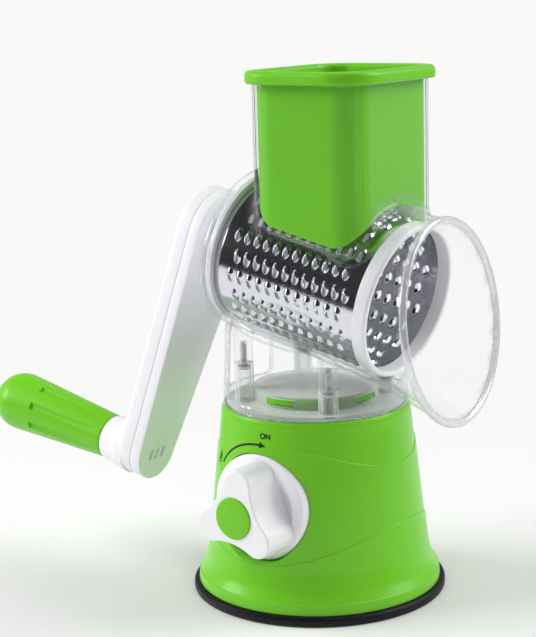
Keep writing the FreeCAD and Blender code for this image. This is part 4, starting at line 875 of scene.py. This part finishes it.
def makeDrumEnds():
    # Profiles of (radius, along, rounding). The front ring has a groove that takes the sheet's edge.
    outer, inner, (far, near) = ends["outer"], ends["inner"], ends["groove"]
    back, front, end = ends["ringBack"], ends["ringFront"], ends["grooveEnd"]
    ring = roundedProfile([
        (far, back, 0.1), (outer, back, 0.9), (outer, front, 1.5), (inner, front, 1.0),
        (inner, back + 0.4, 0.2), (near, back + 0.4, 0.1), (near, end, 0), (far, end, 0)],
        6, closed=True)
    makePiece("drumFrontRing", [sheetOf(lathe(ring, fromBarrel, 144), loopRows=True)], whitePlastic,
              "drum", ["drum_front_ring"])
    hub, hubBack, (square, deep) = ends["hubRadius"], ends["hubBack"], ends["square"]
    wide, back, edge = ends["capRadius"], ends["capBack"], ends["capEdge"]
    inner, lip, front, floor = ends["capInner"], ends["capLip"], ends["capFront"], ends["capFloor"]
    outside, inside, raised = ends["dish"]
    cap = roundedProfile([
        (0, deep, 0), (square, deep, 0), (square, hubBack, 0.3), (hub, hubBack, 0.8), (hub, back, 0.6),
        (wide, back, 0.8), (wide, edge, 0.5), (inner, edge, 0), (inner, front, 0.3), (lip, front, 0.3),
        (lip, floor, 1.5), (outside, floor, 1.0), (inside, raised, 1.0), (0, raised, 0)], 5)
    makePiece("drumRearCap", [sheetOf(lathe(cap, fromBarrel, 144))], whitePlastic, "drum",
              ["drum_rear_cap"])


makeDrumEnds()
print("drum ready")

# The crank: a two-part arm whose outline is two arcs joined by straight sides.
crank = {"length": 115.7, "angle": math.radians(15.6), "hub": 22.4, "end": 13.9, "back": -70.0,
         "seam": -60.8, "seamHalf": 0.12, "front": -54.6, "edge": 3.2, "inside": 8.0, "padRadius": 14.0,
         "padBore": 4.6, "padFront": -53.8, "vents": 3, "ventPitch": 4.3, "ventLength": 6.2,
         "ventWidth": 2.1, "ventDepth": 2.5, "ventLean": math.radians(22),
         "axleDrop": 1.5, "axleSlope": math.radians(9.4)}


def armEnd():
    # How far sideways and down from the drum's axis the middle of the arm's end lies.
    return crank["length"] * math.sin(crank["angle"]), crank["length"] * math.cos(crank["angle"])


def fromGrip(side, up, away):
    # A point of the grip's frame: away from the arm along the grip's own axle, which starts on the
    # arm's outer face, a little below the middle of its end.
    sideways, down = armEnd()
    x, y, z = fromBarrel(np.array(-sideways), -down - crank["axleDrop"], crank["back"])
    fall, run = math.sin(crank["axleSlope"]), math.cos(crank["axleSlope"])
    return np.stack([x - run * away + fall * up, y + side + 0 * up, z + fall * away + run * up], -1)


def armOutline(inset):
    # The hull of two circles, both smaller by the inset: arcs over the far sides of each, with the
    # straight sides divided between the points where they touch.
    hub, end = crank["hub"] - inset, crank["end"] - inset
    lean = math.asin((hub - end) / crank["length"])
    hubTurn = np.linspace(math.pi / 2 - lean, 3 * math.pi / 2 + lean, 49)
    endTurn = np.linspace(-math.pi / 2 + lean, math.pi / 2 - lean, 33)
    hubArc = np.stack([hub * np.cos(hubTurn), hub * np.sin(hubTurn)], -1)
    endArc = np.stack([crank["length"] + end * np.cos(endTurn), end * np.sin(endTurn)], -1)
    share = np.linspace(0, 1, 26)[1:-1, None]
    outline = np.concatenate([hubArc, hubArc[-1] + (endArc[0] - hubArc[-1]) * share, endArc,
                              endArc[-1] + (hubArc[0] - endArc[-1]) * share])
    run, rise = math.cos(crank["angle"]), math.sin(crank["angle"])
    down = run * outline[:, 0] + rise * outline[:, 1]
    side = -rise * outline[:, 0] + run * outline[:, 1]
    return side, -down


def armBlock(profile):
    # Carries a profile of (inset, along) round the arm's outline and closes both ends flat.
    rows = []
    for inset, along in profile:
        side, up = armOutline(inset)
        rows.append(fromBarrel(side, up, along + 0 * side))
    points = np.array(rows)
    count = points.shape[1]
    faces = gridFaces(len(rows), count).tolist()
    faces += [list(range(count)), list(range(len(rows) * count - 1, (len(rows) - 1) * count - 1, -1))]
    return points, faces


def makeCrankShell():
    # The arm's inner half, as a profile of (inset, along, rounding) carried round its outline.
    back, seam, inside = crank["back"], crank["seam"] - crank["seamHalf"], crank["inside"]
    body = roundedProfile([(inside, back, 0), (0, back, crank["edge"]), (0, seam, 0.35),
                           (inside, seam, 0)], 8)
    # The collar for the grip, as a profile of (radius, away from the arm, rounding).
    collar = roundedProfile([(0, -3, 0), (13.7, -3, 0), (13.4, 1.5, 3), (12.4, 6, 8), (11.6, 14.0, 0.9),
                             (3.6, 14.0, 0.2), (3.6, 11.0, 0)], 6)
    blocks = [armBlock(body), sheetOf(lathe(collar, fromGrip, 96))]
    makePiece("crankShell", blocks, whitePlastic, "crank", ["crank_shell"])


def makeCrankCover():
    # Each vent is a slot with round ends: both halves of a circle, moved apart along the slot.
    front, seam, inside = crank["front"], crank["seam"] + crank["seamHalf"], crank["inside"]
    body = roundedProfile([(inside, seam, 0), (0, seam, 0.3), (0, front, 0.55), (inside, front, 0)], 4)
    cover = makePiece("crankCover", [armBlock(body)], whitePlastic, "crank", ["crank_cover"])
    blocks = []
    sideways, down = armEnd()
    half, end = crank["ventLength"] / 2, crank["ventWidth"] / 2
    turn = fullTurn(24)
    lengthways = np.where(np.cos(turn) > 0, half - end, end - half) + end * np.cos(turn)
    across = end * np.sin(turn)
    run, rise = math.cos(crank["ventLean"]), math.sin(crank["ventLean"])
    depth = np.array([front - crank["ventDepth"], front + 1])[:, None]
    faces = gridFaces(2, 24).tolist() + [list(range(24)), list(range(47, 23, -1))]
    for vent in range(crank["vents"]):
        shift = crank["ventPitch"] * (vent - (crank["vents"] - 1) / 2)
        side = -sideways + shift - rise * lengthways + run * across
        up = -down - run * lengthways - rise * across
        blocks.append((fromBarrel(side + 0 * depth, up + 0 * depth, depth + 0 * side), faces))
    cutWith(cover, makeCutter(blocks))
    bore, wide, top = crank["padBore"], crank["padRadius"], crank["padFront"]
    pad = roundedProfile([(bore, front - 1, 0), (wide, front - 1, 0), (wide, top, 0.4), (bore, top, 0)])
    makePiece("crankPad", [sheetOf(lathe(pad, fromBarrel, 96), loopRows=True)], whitePlastic, "crank")


makeCrankShell()
makeCrankCover()

# The grip, with flutes that end abruptly before its thick end.
grip = {"start": 14.3, "neck": 11.3, "belly": 15.2, "stop": 78.0, "tip": 92.0, "flat": 4.0,
        "flutes": 8, "fluteHalf": math.radians(8.5), "fluteDepth": 1.4, "fluteStart": 4.0,
        "fluteEnd": 62.0, "fluteStep": 0.35, "bore": 3.6, "shoulder": (10.0, 10.6, 0.2), "cap": 2.5,
        "phase": math.radians(22)}


def makeGrip():
    # radius = neck to belly in a line, less depth * (1 - (turn from the flute / half width)^2)^0.75,
    # where depth grows as share^0.6 from nothing near the neck to its full size at the flute's end.
    turn = fullTurn(360)
    step = 2 * math.pi / grip["flutes"]
    local = (turn - grip["phase"] + step / 2) % step - step / 2
    section = np.clip(1 - (local / grip["fluteHalf"]) ** 2, 0, None) ** 0.75
    start, stop, end, tip = grip["start"], grip["stop"], grip["fluteEnd"], grip["tip"]
    away = np.concatenate([start + np.linspace(0.8, 8, 5), np.linspace(25, end - 0.3, 30),
                           [end, end + grip["fluteStep"]], np.linspace(64, stop, 5)])
    radius = grip["neck"] + (grip["belly"] - grip["neck"]) * (away - start) / (stop - start)
    first = start + grip["fluteStart"]
    grown = np.clip((away - first) / (end - first), 0, 1) ** 0.6
    depth = np.where(away <= end, grip["fluteDepth"] * grown, 0)
    body = radius[:, None] - depth[:, None] * section
    bend = np.linspace(0, math.pi / 2, 14)[1:]
    dome = grip["flat"] + (grip["belly"] - grip["flat"]) * np.cos(bend)
    inner, outer, rounding = grip["shoulder"]
    rows = [(grip["bore"], start), (inner, start), (outer, start + rounding), *zip(body, away),
            *zip(dome, stop + (tip - stop) * np.sin(bend)), (grip["cap"], tip), (0, tip)]
    blocks = [sheetOf(lathe(rows, fromGrip, len(turn)))]
    makePiece("crankGrip", blocks, greenPlastic, "grip", ["grip", "grip_cap"], crease=32)


makeGrip()
print("crank and grip ready")

# The return spring: a coil that closes up under the deck as the lifter rises.
spring = {"radius": 5.6, "wire": 0.5, "pitch": 3.6, "travel": 3.54, "loopSteps": 28}


def makeSpring():
    # A wire carried along a helix: height = start + pitch * turn / (2 * pi), with both ends closed.
    wire, pitch = spring["wire"], spring["pitch"]
    low, high = (corner[2] * 1000 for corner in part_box("return_spring"))
    turns = (high - low - 2 * wire) / pitch
    turn = np.linspace(0, 2 * math.pi * turns, int(turns * spring["loopSteps"]))[:, None]
    ring = fullTurn(10)
    out = spring["radius"] + wire * np.cos(ring)
    height = low + wire + pitch * turn / (2 * math.pi) + wire * np.sin(ring)
    coil = upright(out * np.cos(turn), out * np.sin(turn), height)
    first, last = (np.repeat(coil[end].mean(0)[None, None], len(ring), 1) for end in (0, -1))
    points = np.concatenate([first, coil, last])
    piece = makePiece("returnSpring", [sheetOf(points)], screwSteel, "base", ["return_spring"])
    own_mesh(piece)


makeSpring()

# Solids that keep their own shape get the finish of their kind. The mount plate's is clear plastic made
# milkier and paler, as painted light that lifts it out of the drum's shadow.
kept = {"retainer_plate": greenPlastic, "retainer_screws": screwSteel, "knob_screw": screwSteel,
        "cam_shaft": whitePlastic, "lifter": whitePlastic, "mount_plate": shadeLiftedClearPlastic,
        "drive_spindle": whitePlastic, "grip_axle": screwSteel, "grip_washer": screwSteel,
        "grip_screw": screwSteel}
for node, finish in kept.items():
    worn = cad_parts[node].data.materials
    worn.clear()
    worn.append(finish["material"])
print("spring and plain solids ready")

# A pale floor that fades into a pale backdrop, a soft lamp at either side and one overhead. Seen in
# glossy surfaces, the room is pale behind the object and dark in front of it and overhead, the floor
# is bright on the left alone, and a small lamp stands in for the large one at the left. A lamp is its
# place, size, power, and whether it lights the object and whether glossy surfaces show it.
studio = {"floor": (0.80, 0.80, 0.80), "floorRoughness": 0.9, "floorRadius": 0.62, "fade": (0.10, 0.55),
          "glossyFloor": 1.0, "brightSide": (-0.75, -0.66, 0.0), "sideFade": (-0.04, 0.10),
          "room": (0.95, 0.945, 0.94), "dark": 0.012, "ambient": 0.41, "glossyRoom": 0.42,
          "away": (-0.602, 0.798, 0.0), "awayFade": (-0.1, 0.35), "topFade": (0.35, 0.8),
          "aim": (0, 0, 0.12),
          "lamps": (((-1.02, -0.64, 0.90), 1.0, 17.5, True, False),
                    ((0.96, 0.72, 0.92), 1.1, 12.0, True, True),
                    ((0.40, 0.60, 1.30), 0.9, 3.5, True, True),
                    ((-1.14, -0.715, 0.60), 0.62, 5.0, False, True))}


def smoothRange(tree, value, low, high):
    inputs = {"Value": value, "From Min": low, "From Max": high}
    return shaderNode(tree, "MapRange", inputs, interpolation_type="SMOOTHSTEP").outputs["Result"]


def makeFloor():
    # A disc, lit as a plain surface near the object and glowing like the room farther out. Only the
    # camera, clear plastic and glossy surfaces see it glow.
    mesh = bpy.data.meshes.new("floor")
    turn = fullTurn(96)
    radius = studio["floorRadius"]
    mesh.from_pydata(upright(radius * np.cos(turn), radius * np.sin(turn), 0 * turn).tolist(), [],
                     [list(range(len(turn)))])
    plate = bpy.data.objects.new("floor", mesh)
    bpy.context.scene.collection.objects.link(plate)
    material = bpy.data.materials.new("paleFloor")
    material.use_nodes = True
    tree = material.node_tree
    shader = tree.nodes["Principled BSDF"]
    feed(tree, shader, {"Base Color": (*studio["floor"], 1), "Roughness": studio["floorRoughness"]})
    place = shaderNode(tree, "TexCoord").outputs["Object"]
    path = shaderNode(tree, "LightPath").outputs
    reach = shaderNode(tree, "VectorMath", {0: place}, operation="LENGTH").outputs["Value"]
    side = shaderNode(tree, "VectorMath", {0: place, 1: studio["brightSide"]}, operation="DOT_PRODUCT")
    seen = mathNode(tree, "MAXIMUM", path["Is Camera Ray"], path["Is Transmission Ray"])
    seen = mathNode(tree, "MULTIPLY", seen, smoothRange(tree, reach, *studio["fade"]))
    lit = smoothRange(tree, side.outputs["Value"], *studio["sideFade"])
    lit = mathNode(tree, "MULTIPLY", lit, studio["glossyFloor"])
    mirrored = mathNode(tree, "MULTIPLY", path["Is Glossy Ray"], lit)
    glow = shaderNode(tree, "Emission", {"Color": (*studio["room"], 1)})
    mix = shaderNode(tree, "MixShader", {0: mathNode(tree, "MAXIMUM", seen, mirrored),
                                         1: shader.outputs[0], 2: glow.outputs[0]})
    feed(tree, tree.nodes["Material Output"], {"Surface": mix.outputs[0]})
    mesh.materials.append(material)


def makeRoom():
    # The room's strength is 1 to the camera, ambient to dull surfaces, and to glossy ones pale behind
    # the object, dark in front of it and dark overhead.
    room = bpy.data.worlds.new("room")
    room.use_nodes = True
    tree = room.node_tree
    place = shaderNode(tree, "TexCoord").outputs["Generated"]
    path = shaderNode(tree, "LightPath").outputs
    parts = shaderNode(tree, "SeparateXYZ", {0: place}).outputs
    ahead = shaderNode(tree, "VectorMath", {0: place, 1: studio["away"]}, operation="DOT_PRODUCT")
    behind = smoothRange(tree, ahead.outputs["Value"], *studio["awayFade"])
    low = mathNode(tree, "SUBTRACT", 1.0, smoothRange(tree, parts["Z"], *studio["topFade"]))
    pale = mathNode(tree, "MULTIPLY", mathNode(tree, "MULTIPLY", behind, low), studio["glossyRoom"])
    pale = mathNode(tree, "MAXIMUM", pale, studio["dark"])
    glossy = mathNode(tree, "MULTIPLY", path["Is Glossy Ray"], pale)
    diffuse = mathNode(tree, "MULTIPLY", path["Is Diffuse Ray"], studio["ambient"])
    either = mathNode(tree, "MAXIMUM", path["Is Glossy Ray"], path["Is Diffuse Ray"])
    level = mathNode(tree, "ADD", mathNode(tree, "ADD", glossy, diffuse),
                     mathNode(tree, "SUBTRACT", 1.0, either))
    feed(tree, tree.nodes["Background"], {"Strength": level, "Color": (*studio["room"], 1)})
    bpy.context.scene.world = room


def makeLamps():
    for place, size, power, lighting, mirrored in studio["lamps"]:
        lamp = bpy.data.lights.new("lamp", "AREA")
        lamp.shape, lamp.size, lamp.energy = "DISK", size, power
        holder = bpy.data.objects.new("lamp", lamp)
        holder.location = place
        holder.visible_diffuse, holder.visible_glossy = lighting, mirrored
        towards = Vector(studio["aim"]) - Vector(place)
        holder.rotation_euler = towards.to_track_quat("-Z", "Y").to_euler()
        bpy.context.scene.collection.objects.link(holder)


makeFloor()
makeRoom()
makeLamps()

# The camera looks down a little, from the mouth's side of the knob. It is turned by a tilt up from
# straight down, a roll and a heading, in degrees.
view = {"place": (0.44393, -0.62561, 0.29146), "turned": (78.4179, 1.5443, 36.7092), "lens": 91.258,
        "sensor": 36, "clip": (0.01, 50)}


def makeCamera():
    camera = bpy.data.cameras.new("camera")
    camera.lens, camera.sensor_width, camera.sensor_fit = view["lens"], view["sensor"], "AUTO"
    camera.clip_start, camera.clip_end = view["clip"]
    holder = bpy.data.objects.new("camera", camera)
    bpy.context.scene.collection.objects.link(holder)
    turned = Euler([math.radians(angle) for angle in view["turned"]])
    holder.matrix_world = Matrix.Translation(view["place"]) @ turned.to_matrix().to_4x4()
    bpy.context.scene.camera = holder
    bpy.context.scene.view_settings.view_transform = "Standard"


makeCamera()
